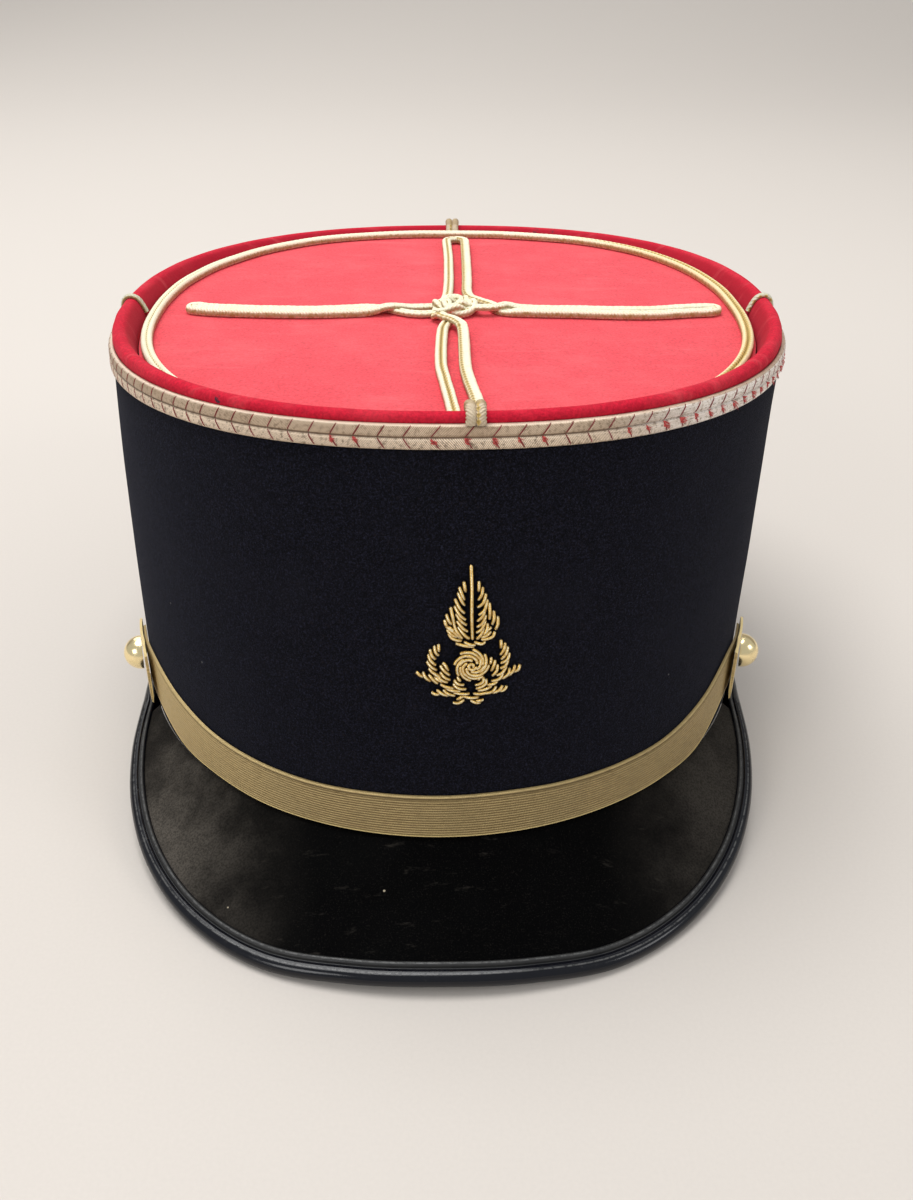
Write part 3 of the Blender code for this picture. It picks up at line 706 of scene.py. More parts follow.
class KepiColours(bpy.types.PropertyGroup):
    """Colours of the cloth, metal and leather."""

    wool: tint("Wool", "Black wool of the side wall", (0.0042, 0.0042, 0.0062))
    wool_fibre: tint("Wool fibre", "Lighter fibres of the wool", (0.0215, 0.022, 0.040))
    lint: tint("Lint", "Pale specks on the cloth", (0.35, 0.34, 0.33))
    red_top: tint("Red top", "Cloth of the top", (0.78, 0.072, 0.092))
    red_roll: tint("Red roll", "Cloth of the rim roll", (0.56, 0.012, 0.034))
    red_worn: tint("Worn red", "Rubbed places of the red cloth", (0.86, 0.17, 0.18))
    stain: tint("Stain", "Moth marks on the red cloth", (0.05, 0.03, 0.045))
    cord_pale: tint("Pale cord", "Raised strands of the gold cord", (1.0, 0.98, 0.76))
    cord_mid: tint("Middle cord", "Shaded strands of the gold cord", (0.88, 0.72, 0.32))
    # The deep cord colour is painted shade, in the cords' grooves and along their edges
    cord_shade: tint("Deep cord", "Grooves of the gold cord", (0.30, 0.19, 0.04))
    braid_pale: tint("Pale braid", "Light strands of the metal braid", (0.95, 0.78, 0.60))
    # On the upper row this colour is satin, darkened partly as painted shade
    braid_mid: tint("Satin braid", "Satin face of the braid's upper row", (0.44, 0.30, 0.185))
    # This colour is the dark gaps between strands, and painted shade along the seam between the
    # two rows
    braid_gaps_and_shade: tint("Deep braid", "Gaps between strands of the braid", (0.15, 0.09, 0.05))
    thread: tint("Red thread", "Chevron threads of the braid", (0.28, 0.02, 0.03))
    fray: tint("Frayed thread", "Loose ends of the chevron threads", (0.72, 0.10, 0.09))
    bullion: tint("Bullion", "Gold wire of the badge", (1.0, 0.66, 0.17))
    bullion_deep: tint("Deep bullion", "Shaded wire of the badge", (0.40, 0.20, 0.04))
    ribbon: tint("Ribbon", "Raised ribs of the strap", (0.50, 0.37, 0.168))
    ribbon_deep: tint("Deep ribbon", "Sunk ribs of the strap", (0.17, 0.11, 0.04))
    tab: tint("Tab", "Satin gold of the strap ends", (0.98, 0.74, 0.34))
    leather: tint("Leather", "Black panel of the peak", (0.0010, 0.0010, 0.0011))
    # Also painted sheen on the panel's left and right sides, besides rubbed places
    leather_worn_and_sheen: tint("Worn leather", "Rubbed places of the panel", (0.10, 0.088, 0.074))
    bead: tint("Bead", "Glossy outer roll of the peak", (0.0025, 0.003, 0.006))
    bead_worn: tint("Worn bead", "Grey rubbed inner bead", (0.018, 0.018, 0.0175))
    brass: tint("Brass", "Ball buttons", (1.0, 0.83, 0.47))
    floor: tint("Floor", "Plain floor of the stage", (0.64, 0.59, 0.54))


class PieceMaker:
    """What every operator of the cap shares."""

    bl_options = {"REGISTER", "UNDO"}

    def execute(self, context):
        self.build(context.scene.kepi_sizes, context.scene.kepi_colours)
        return {"FINISHED"}


# ---------------------------------------------------------------- side wall


class KEPI_OT_side_wall(PieceMaker, bpy.types.Operator):
    """Make the black wool side wall"""

    bl_idname = "kepi.side_wall"
    bl_label = "Side wall"

    def build(self, sizes, colours):
        knots = (0.0, 0.02, 0.62, 0.64, 0.66, 0.94, 0.955, 0.97, 0.985, 1.0)
        levels = (0.0, 0.0, 1.0, 1.0, 1.0, 0.0, 0.0, 0.0, 0.0, 0.0)
        outs = (0.0, 0.0, 0.0, -0.4, -WALL / MM, -WALL / MM, -2.3, -1.25, -0.2, 0.0)
        ups = (1.0, 1.2, -0.5, -0.3, -0.5, 1.2, 0.4, 0.0, 0.3, 1.0)

        def place(u, v):
            angle = round_from_back(u)
            level = np.interp(v, knots, levels)
            out = np.interp(v, knots, outs) * MM
            up = np.interp(v, knots, ups) * MM
            swell = np.sin(7 * angle + 1.3) * np.sin(9 * level + 0.4)
            swell += 0.6 * np.sin(19 * angle) * np.sin(23 * level + 1.0)
            bare = np.clip((level - 0.02) / 0.2, 0, 1) * np.clip((BRAID_LEVEL - level) / 0.1, 0, 1)
            return wall_point(angle, level, out=out + sizes.wall_waviness * swell * bare, up=up)

        wool = wool_look(colours)
        sheet_piece("wool_side_wall", (480, 130), place, wool, "side_wall", "black_wool")


# ---------------------------------------------------------------- red top


class KEPI_OT_red_top(PieceMaker, bpy.types.Operator):
    """Make the sunk red top and the roll round it"""

    bl_idname = "kepi.red_top"
    bl_label = "Red top"

    def build(self, sizes, colours):
        centre = np.array([TOP.shift_x, TOP.shift_y])
        knots = (0.0, 0.86, 0.9, 1.0)
        shares = (0.0, 1.0, 1.0, 0.0)
        drops = (0.0, 0.0, 1.0, 1.0)

        def top_place(u, v):
            rim = outline(round_from_back(u), 1.0)
            rim = rim - outward(round_from_back(u), 1.0) * DISC_INSET
            flat = centre + (rim - centre) * np.interp(v, knots, shares)[:, None]
            drop = np.interp(v, knots, drops)
            high = disc_height(flat[:, 1]) + felt_swell(*flat.T) * (1 - drop) - drop * DISC_THICK
            return np.column_stack([flat, high])

        look = felt_look("red_top_nap", colours.red_top, colours)
        sheet_piece("red_top_felt", (260, 90), top_place, look, "top_disc", "red_cloth")

        seen = 0.8

        def roll_place(u, v):
            angle = round_from_back(u)
            insets, heights = roll_skin(angle)
            under = disc_from_foot(angle) - DISC_THICK
            ones = np.ones_like(angle)
            hidden_insets = [insets[-1], 2.8 * MM * ones, 3.0 * MM * ones, ROLL_INSET * ones]
            hidden_heights = [heights[-1], 0.0 * ones, under, under]
            skin = np.minimum(v / seen, 1.0) * (len(insets) - 1)
            back = np.maximum(v - seen, 0.0) / (1 - seen) * 4
            inset = spline(insets, skin)
            high = spline(heights, skin)
            inset = np.where(v <= seen, inset, straight([*hidden_insets, insets[0]], back))
            high = np.where(v <= seen, high, straight([*hidden_heights, heights[0]], back))
            lumps = np.sin(31 * angle + 0.5) * np.sin(12 * v) + np.sin(53 * angle) * np.sin(7 * v)
            lumps *= np.clip(np.minimum(v, seen - v) / 0.1, 0, 1)
            return wall_point(angle, 1.0, out=-inset + 0.06 * MM * lumps, up=high)

        def unfold(u, v):
            return u * ROLL_RUN, v

        stains = self.stains()
        look = felt_look("red_roll_nap", colours.red_roll, colours, stains, 0.12, ROLL_SHADED_INNER)
        sheet_piece(
            "red_rim_roll", (560, 40), roll_place, look, "rim_roll", "red_cloth", unfold
        )

    def stains(self):
        """Moth marks on the roll: degrees from the front, inset, height and radius in mm."""
        places = []
        for degrees, inset, high, radius in (
            (-141.0, 3.2, 4.0, 1.6),
            (-145.0, 3.6, 3.6, 2.2),
            (-31.0, 0.3, 1.3, 1.1),
            (162.0, 3.4, 5.0, 1.8),
            (158.0, 3.4, 5.0, 1.6),
            (152.0, 3.6, 4.4, 1.4),
            (131.0, 3.0, 4.6, 1.4),
        ):
            angle = from_front([degrees])
            point = wall_point(angle, 1.0, out=np.array([-inset * MM]), up=high * MM)[0]
            places.append((*point, radius * MM))
        return places


# ---------------------------------------------------------------- metal braid


class KEPI_OT_braid(PieceMaker, bpy.types.Operator):
    """Make the metal braid round the top edge with its red chevron threads"""

    bl_idname = "kepi.braid"
    bl_label = "Chevron braid"

    def build(self, sizes, colours):
        round_length = 2 * math.pi * BRAID_RADIUS
        count = int(round(round_length / sizes.chevron_pitch))
        face, lip = 0.72, 0.78

        def place(u, v):
            share = np.interp(v, (0.0, 0.04, face, 0.94, 1.0), (0.0, 0.0, 1.0, 1.0, 0.0))
            out = self.row_height(share)
            phase = (u * count - self.slant(share)) % 1.0
            pull = np.exp(-((np.minimum(phase, 1 - phase) / 0.05) ** 2))
            out = (out - 0.2 * pull * (v > 0.04) * (v < face)) * MM
            ends = (0.0, 0.02, 0.04), (GAP, 0.5 * MM, 0.62 * MM)
            out = np.where(v < 0.04, np.interp(v, *ends), out)
            over = (face, lip, 0.84, 0.88, 1.0), (0.5 * MM, -0.25 * MM, -0.25 * MM, GAP, GAP)
            out = np.where(v > face, np.interp(v, *over), out)
            up = np.interp(v, (face, lip, 0.84, 0.88, 0.94), (0.0, 0.12, -0.1, -0.3, 0.0)) * MM
            level = BRAID_LEVEL + (1 - BRAID_LEVEL) * share
            return wall_point(round_from_back(u), level, out=out, up=up)

        def unfold(u, v):
            return u * round_length, np.interp(v, (0.04, face), (0.0, BRAID_WIDTH))

        cells = count * 14, 32
        look = self.braid_look(colours)
        sheet_piece(
            "metal_braid_rows", cells, place, look, "chevron_braid", "metal_braid", unfold
        )

        threads = bmesh.new()
        for chevron in range(count):
            for rows in (0.03, 0.5), (0.5, 0.97):
                share = np.linspace(*rows, 7)
                u = (chevron + self.slant(share)) / count
                level = BRAID_LEVEL + (1 - BRAID_LEVEL) * share
                out = (self.row_height(share) - 0.08) * MM
                out[[0, -1]] -= 0.15 * MM
                path = wall_point(round_from_back(u), level, out=out)
                up = [*outward(round_from_back(u[3]), 1.0), 0.0]
                add_tube(threads, path, THREAD_RADIUS, 5, up=up)
        red = self.thread_look("red_thread_twist", colours.thread)
        finish_piece("chevron_threads", threads, red, [])
        self.frayed_ends(count, colours)

    def row_height(self, share):
        """Height of the braid's two rows over the side wall, in mm, at a share of its width."""
        within = np.abs((share * 2) % 1.0 - 0.5) * 2
        return 0.35 + 0.6 * np.sqrt(np.clip(1 - within**4, 0, 1))

    def slant(self, share):
        """How far a chevron has moved round from its point, in pitches."""
        return np.abs(share - 0.5) * 2 * 0.33

    def frayed_ends(self, count, colours):
        """Short loose ends of the chevron threads, most of them on the right side."""
        random.seed(FRAY_SEED)
        frayed = bmesh.new()
        for chevron in range(count):
            degrees = math.degrees(round_from_back(chevron / count)) % 360 - 270
            often = 0.85 if 22 < degrees < 98 else 0.25 if -20 < degrees <= 22 else 0.0
            if random.random() > often:
                continue
            tuft = random.uniform(0.45, 1.0) if degrees > 22 else 0.4
            for _ in range(random.randint(12, 22)):
                reach = random.uniform(0.9, 3.6) * tuft * MM
                fall = random.uniform(0.0, 0.75)
                angle = round_from_back(chevron / count) + reach * REACH / BRAID_RADIUS
                level = BRAID_LEVEL + (1 - BRAID_LEVEL) * random.uniform(0.25, 0.5)
                rise = np.sin(REACH * math.pi * 0.8)
                out = (0.8 + random.uniform(0.05, 0.5) * rise) * MM
                path = wall_point(angle, level, out=out, up=-reach * fall * REACH**1.3)
                radius = np.array(FRAY_RADII) * MM
                add_tube(frayed, path, radius, 5, up=[*outward(angle[0], 1.0), 0.2])
        red = self.thread_look("frayed_thread_twist", colours.fray)
        finish_piece("frayed_thread_ends", frayed, red, [])

    def braid_look(self, colours):
        look = Look("metal_braid_strands", roughness=0.4, metallic=0.25)
        along, across = look.along_across()
        middle = BRAID_WIDTH / 2
        beside = abs(across - middle)
        lines = ((along - beside * 0.66) * (2 * math.pi / (0.36 * MM))).sine()
        upper = across.fade(middle * 0.97, middle * 1.03)
        at = look.coordinates()
        mottle = look.noise(at, 0.8 * MM, 3.0, 0.7)
        patches = look.noise(at, 30 * MM, 2.0)
        drawn = look.noise(look.mapped(look.coordinates("UV"), (1, 11, 1)), 3.2 * MM, 3.0, 0.7)
        side = look.split(at)[0].fade(0.030, 0.060)
        # Painted shade in the groove between the braid's two rows, weaker on the right side of the
        # cap
        seam = beside.fade(0.12 * MM, 0.3 * MM, 1.0, 0.0)
        glint = (beside - middle * 0.16).fade(0.0, 0.16 * MM)
        glint = glint * beside.fade(0.55 * MM, 0.7 * MM, 1.0, 0.0) * (1 - upper)
        white = side * lines.fade(-0.8, 0.6, 0.45, 1.0) * mottle.fade(0.45, 0.65, 1.0, 0.25)
        rim = across.fade(middle * 1.88, middle * 1.95)
        pale, mid, deep = colours.braid_pale, colours.braid_mid, colours.braid_gaps_and_shade
        bright = look.layers(
            mid, (lines.fade(-0.7, 0.5), pale), (mottle.fade(0.48, 0.68, 0.0, 0.75), deep)
        )
        # The upper row's satin face is darker, partly as painted shade, except in patches and on
        # the right side of the cap
        satin = look.layers(
            shade(mid, 0.8),
            (lines.fade(-1.0, 1.0), mid),
            (mottle.fade(0.4, 0.7, 0.0, 0.5), shade(mid, 0.6)),
            (patches.fade(0.4, 0.65, 0.0, 0.5).at_least(side * 0.9), bright),
        )
        tint = look.layers(
            bright,
            (upper, satin),
            (drawn.fade(0.52, 0.62) * side * 0.75, shade(mid, 0.55)),
            (drawn.fade(0.38, 0.48, 1.0, 0.0) * side, SILVER_STREAK),
            (glint * 0.6, pale),
            (seam * (0.85 - side * 0.55), deep),
            (white, SILVER),
            (rim * 0.8, look.mix(side, shade(pale, 0.8), mid)),
        )
        relief = look.bump(lines * 0.6 + mottle * 0.4, 0.1 * MM, 0.6)
        return look.paint(tint, relief, mottle.fade(0.3, 0.7, 0.3, 0.5))

    def thread_look(self, name, colour):
        look = Look(name, roughness=0.8)
        twist = look.noise(look.coordinates(), 0.3 * MM, 2.0)
        tint = look.mix(twist.fade(0.35, 0.65), shade(colour, 0.55), colour)
        return look.paint(tint, look.bump(twist, 0.05 * MM))


# ---------------------------------------------------------------- gold cords


def cord_section(v, width, height, valley=0.55):
    """Across and up on the section of a flat cord with two round ribs, from v = 0 to 1. Valley is
    the height of the groove between the ribs, as a share of the whole height."""
    top, edge = 0.78, 0.36
    quarter = width / 4
    rib = np.minimum(v / top, 1.0) * 2
    swing = np.where(rib < 1, rib, rib - 1)
    middle = np.where(rib < 1, -quarter, quarter)
    across = middle - quarter * np.cos(np.pi * swing)
    across = np.where(rib >= 2, 2 * quarter, across)
    base = edge + (valley - edge) * np.where(rib < 1, swing, 1 - swing)
    high = height * (base + (1 - base) * np.sin(np.pi * swing))
    high = np.where(rib >= 2, edge * height, high)
    under = (v - top) / (1 - top)
    corners = (0.0, 0.25, 0.75, 1.0)
    below = np.interp(under, corners, (0.5, 0.46, -0.46, -0.5)) * width
    across = np.where(v > top, below, across)
    high = np.where(v > top, np.interp(under, corners, (edge, 0.0, 0.0, edge)) * height, high)
    return across, high


def lay_cord(
    name, rows, look, node, width=CORD_WIDTH, height=CORD_HEIGHT, valley=0.6, closed=False
):
    """Lays a flat cord on the top along rows of x, y, lift and share of full height. Open ends
    round off to a point."""
    strand = bpy.context.scene.kepi_sizes.cord_strand
    route, run = even_steps(rows, CORD_STEP, closed)
    x, y, lift, share = route.T
    middle = np.column_stack([x, y, disc_height(y) + GAP + lift + felt_swell(x, y)])
    if closed:
        ahead = np.roll(middle[:-1], -1, axis=0) - np.roll(middle[:-1], 1, axis=0)
        ahead = np.vstack([ahead, ahead[:1]])
        ends = np.ones(len(route))
    else:
        ahead = np.gradient(middle, axis=0)
        along = np.linspace(0, run, len(route))
        near = np.clip(np.minimum(along, run - along) / (0.8 * MM), 0, 1)
        ends = np.sqrt(1 - (1 - near) ** 2)
    up = np.array(DISC_UP)
    side = unit(np.cross(ahead, up))

    def place(u, v):
        station = np.rint(u * (len(route) - 1)).astype(int)
        across, high = cord_section(v, width, height, valley)
        plait = np.sin(2 * np.pi * (np.rint(run / strand) * u + np.abs(across) / strand))
        uneven = np.sin(u * run * 830 + 1.0) * np.sin(u * run * 370 + 2.2)
        swell = 1 + 0.012 * plait + (0.0 if closed else 0.022) * uneven
        across = across * ends[station] * swell
        high = high * share[station] * swell
        low = 0.3 * height * share[station]
        high = low + (high - low) * ends[station]
        return middle[station] + side[station] * across[:, None] + up * high[:, None]

    def unfold(u, v):
        return u * run, cord_section(v, width, height)[0]

    sheet_piece(name, (len(route) - 1, 20), place, look, node, "gold_cord", unfold)


def flat_rows(points, lift=0.0, share=1.0):
    return [(x * MM, y * MM, lift, share) for x, y in points]


def arm_route(middle, over, under, lifts=1.0, tip_length=1.0, tip_room=1.0):
    """A doubled cord: out beside the middle line, round its tip and back, with crossing ends.
    Lifts are shares of the crossing's height, and tip_room opens the two runs to the tip."""
    line = np.asarray(middle, float) * MM
    half = CORD_PITCH / 2 * np.linspace(1.0, tip_room ** (1 / 3), len(line))[:, None] ** 3
    run = unit(np.gradient(line, axis=0))
    across = np.column_stack([-run[:, 1], run[:, 0]])
    side = 1.0 if over[-1][1] > under[-1][1] else -1.0
    side *= math.copysign(1.0, line[-1][0])
    out = [(*point, 0.0, 1.0) for point in line + across * half * side]
    back = [(*point, 0.0, 1.0) for point in line - across * half * side]
    turn = np.linspace(0, math.pi, 24)[1:-1]
    tip = line[-1] + run[-1] * (half[-1] * tip_length * np.sin(turn))[:, None]
    tip = tip + across[-1] * (half[-1] * side * np.cos(turn))[:, None]
    tip = [(*point, 0.0, 1.0) for point in tip]
    start = np.array(flat_rows(over, CROSSING_LIFT, PRESSED))
    start[:, 2] *= lifts
    first = curve([*start, *out])
    last = curve(back[::-1] + flat_rows(under, 0.0, PRESSED)[::-1])
    return np.vstack([first, tip, last])


# Points of the cords on the top, x and y in mm
LEFT_ARM = (
    (-20.5, 4.0), (-30.0, 2.9), (-40.0, 2.5), (-51.0, 2.7), (-59.0, 3.5), (-64.8, 4.5),
    (-67.9, 5.6),
)
LEFT_OVER = (
    (-0.8, 5.9), (-2.6, 6.2), (-5.4, 6.3), (-8.4, 6.2), (-10.8, 5.5), (-13.0, 4.2),
    (-15.2, 3.0),
)
LEFT_LIFTS = (0.3, 0.25, 0.15, 0.2, 0.5, 0.9, 1.0)
LEFT_UNDER = (
    (0.6, 1.7), (-2.4, 0.7), (-5.4, 0.5), (-8.2, 1.2), (-10.8, 2.7), (-12.6, 4.0),
    (-14.0, 5.0), (-15.6, 5.7),
)
RIGHT_ARM = (
    (23.5, 2.4), (35.5, 1.7), (43.5, 1.2), (52.0, 1.0), (60.0, 1.4), (68.5, 2.9), (73.4, 3.6),
)
RIGHT_OVER = ((9.3, 1.5), (10.9, 1.3), (12.6, 1.2), (14.2, 1.5), (16.4, 2.7), (18.6, 4.0))
RIGHT_UNDER = ((14.9, 5.6), (15.6, 4.2), (16.8, 2.6), (18.6, 1.4))
BACK_LEFT = (
    (0.5, 9.6), (1.3, 12.2), (2.0, 20.0), (2.3, 34.0), (2.3, 50.0), (2.2, 65.0), (1.6, 87.0),
)
BACK_RIGHT = (
    (7.8, 87.0), (7.9, 65.0), (7.9, 50.0), (7.8, 34.0), (7.6, 22.0), (8.4, 15.6), (10.8, 11.6),
    (14.4, 7.0), (15.6, 4.6),
)
FRONT_LEFT_UNDER = ((2.4, -6.4), (1.6, -9.0), (1.0, -12.0))
FRONT_LEFT = ((0.6, -17.0), (0.3, -30.0), (0.4, -45.0), (1.3, -55.0), (2.7, -70.0), (4.0, -84.4))
FRONT_RIGHT_UNDER = ((-0.2, -0.9), (-1.1, -1.9))
FRONT_RIGHT_RISE = (-1.0, -3.3)
FRONT_RIGHT_OVER = (
    (-0.1, -4.9), (1.0, -6.8), (2.6, -8.4), (4.0, -10.4), (5.0, -12.6), (5.7, -15.2),
)
FRONT_RIGHT = ((6.1, -18.0), (6.2, -30.0), (6.3, -45.0), (7.0, -55.0), (8.6, -70.0), (9.6, -84.2))


class KEPI_OT_cords(PieceMaker, bpy.types.Operator):
    """Lay the gold cords of the top: the oval, the cross and the knot"""

    bl_idname = "kepi.cords"
    bl_label = "Gold cords"

    def build(self, sizes, colours):
        gold = colours.cord_pale, colours.cord_mid, colours.cord_shade
        look = plait_look("gold_cord_plait", *gold, groove=0.07 * MM)
        open_look = plait_look("open_cord_plait", *gold, groove=0.26 * MM)
        back_look = plait_look(
            "back_cord_plait", *gold, groove=0.22 * MM, shift=1.0 * MM, shift_from=4.2 * MM
        )
        side_look = plait_look("side_cord_plait", *gold, groove=0.2 * MM, shift=0.95 * MM)
        oval_look = plait_look("oval_plait", *gold, groove=0.05 * MM, open_right=0.34 * MM)
        angle = np.linspace(0, 2 * np.pi, 900, endpoint=False) + math.pi / 2
        ring = wall_point(angle, 1.0, out=OVAL_SIDE_SHIFT * np.cos(angle) ** 2 - OVAL_INSET)
        oval = [(x, y, 0.0, 1.0) for x, y, _ in ring]
        lay_cord("oval_cord_plait", oval, oval_look, "oval_cord", closed=True)
        left = arm_route(LEFT_ARM, LEFT_OVER, LEFT_UNDER, LEFT_LIFTS)
        lay_cord("left_arm_plait", left, look, "left_arm", valley=0.75)
        right = arm_route(RIGHT_ARM, RIGHT_OVER, RIGHT_UNDER, tip_length=1.5, tip_room=1.35)
        lay_cord("right_arm_plait", right, look, "right_arm", valley=0.75)
        lay_cord("back_arm_plait", self.back_route(), back_look, "back_arm", valley=0.8)
        strand = curve(flat_rows(FRONT_LEFT_UNDER, 0.0, PRESSED) + flat_rows(FRONT_LEFT))
        lay_cord("front_left_plait", strand, open_look, "front_strand_left")
        strand = flat_rows(FRONT_RIGHT_UNDER, 0.0, PRESSED)
        strand += flat_rows([FRONT_RIGHT_RISE], 0.3 * CROSSING_LIFT, PRESSED)
        strand += flat_rows(FRONT_RIGHT_OVER, CROSSING_LIFT, PRESSED) + flat_rows(FRONT_RIGHT)
        lay_cord("front_right_plait", curve(strand), side_look, "front_strand_right", valley=0.85)
        knot_look = plait_look("knot_plait", *gold, groove=0.05 * MM, half=KNOT_WIDTH / 2)
        knot_size = KNOT_WIDTH, KNOT_HEIGHT, 0.85
        knot = "centre_knot_plait", self.knot(), knot_look, "centre_knot"
        lay_cord(*knot, *knot_size, closed=True)

    def back_route(self):
        centre = np.array([(BACK_LEFT[-1][0] + BACK_RIGHT[0][0]) / 2, BACK_LEFT[-1][1]]) * MM
        radius = (BACK_RIGHT[0][0] - BACK_LEFT[-1][0]) / 2 * MM
        turn = np.linspace(math.pi, 0, 24)[1:-1]
        around = [
            (centre[0] + radius * math.cos(t), centre[1] + radius * math.sin(t), 0.0, 1.0)
            for t in turn
        ]
        return np.vstack([curve(flat_rows(BACK_LEFT)), around, curve(flat_rows(BACK_RIGHT))])

    def knot(self):
        turn = np.linspace(0, 6 * np.pi, 720, endpoint=False)
        weave = turn * 4 / 3
        radius = KNOT_RADIUS + KNOT_SWING * np.cos(weave)
        x = KNOT_CENTRE[0] + radius * np.cos(turn + math.pi / 4)
        y = KNOT_CENTRE[1] + radius * np.sin(turn + math.pi / 4)
        pressed = 1 - 0.6 * np.maximum(np.cos(weave), 0) ** 2
        lift = KNOT_RISE * (1 + np.sin(2 * weave)) * pressed
        return np.column_stack([x, y, lift, np.ones_like(x)])


class KEPI_OT_rim_cords(PieceMaker, bpy.types.Operator):
    """Make the cord ends and the thin loops that run over the rim roll"""

    bl_idname = "kepi.rim_cords"
    bl_label = "Rim cords"

    def build(self, sizes, colours):
        fold = 5.2 * MM, 2.2 * MM
        aged = *AGED_CORD, colours.cord_shade
        stub = plait_look("stub_plait", *aged, 1.3 * MM, 0.1 * MM, 2.1 * MM, fold=fold)
        tan = shade(colours.cord_pale, 0.62), shade(colours.cord_mid, 0.55), colours.cord_shade
        loop = plait_look("loop_twist", *tan, groove=0.06 * MM, half=1.05 * MM)
        for side, degrees in ("front", 2.6), ("back", 179.4):
            piece = f"{side}_stub_plait", degrees, 0, 0.0, 4.2 * MM, 1.3 * MM
            self.over_rim(*piece, stub, f"{side}_stub")
        for side, degrees in ("left", -88.0), ("right", 88.0):
            piece = f"{side}_loop_twist", degrees, 0.5, -0.5, 2.3 * MM, 1.2 * MM
            self.over_rim(*piece, loop, f"{side}_loop")

    def over_rim(self, name, degrees, first, stand_off, width, height, look, node):
        angle = from_front([degrees])
        insets, heights = (side[:, 0] for side in roll_skin(angle))
        base = wall_point(angle, 1.0)[0]
        out = np.array([*outward(angle, 1.0)[0], 0.0])
        along = np.array([-out[1], out[0], 0.0])
        top = np.array([0.0, 0.0, 1.0])
        at = np.linspace(first, len(insets) - 1, 70)
        skin = np.column_stack([-spline(insets, at), spline(heights, at)])
        run = unit(np.gradient(skin, axis=0))
        away = np.column_stack([-run[:, 1], run[:, 0]])
        seat = skin + away * (GAP + 0.1 * MM + stand_off * MM)
        seat[:, 1] = np.where(at > 5.6, np.maximum(seat[:, 1], 0.8 * MM), seat[:, 1])
        thin = width < 3 * MM
        span = float(np.hypot(*np.diff(skin, axis=0).T).sum())

        def place(u, v):
            station = np.rint(u * (len(at) - 1)).astype(int)
            if thin:
                turn = 2 * np.pi * v
                across = width / 2 * np.cos(turn)
                high = height / 2 * (1 + np.sin(turn))
            else:
                across, high = cord_section(v, width, height)
            twist = 1 + 0.05 * np.sin(2 * np.pi * (u * span + np.abs(across)) / (0.9 * MM))
            bulge = 0.0 if thin else np.exp(-(((at[station] - 2.6) / 0.9) ** 2))
            across, high = across * (twist + 0.08 * bulge), high * (twist + 0.5 * bulge)
            flat = seat[station] + away[station] * high[:, None]
            return base + out * flat[:, :1] + top * flat[:, 1:] + along * across[:, None]

        def unfold(u, v):
            return u * span, (v - 0.5) * width

        sheet_piece(name, (len(at) - 1, 20), place, look, node, "gold_cord", unfold, 60)


# ---------------------------------------------------------------- badge


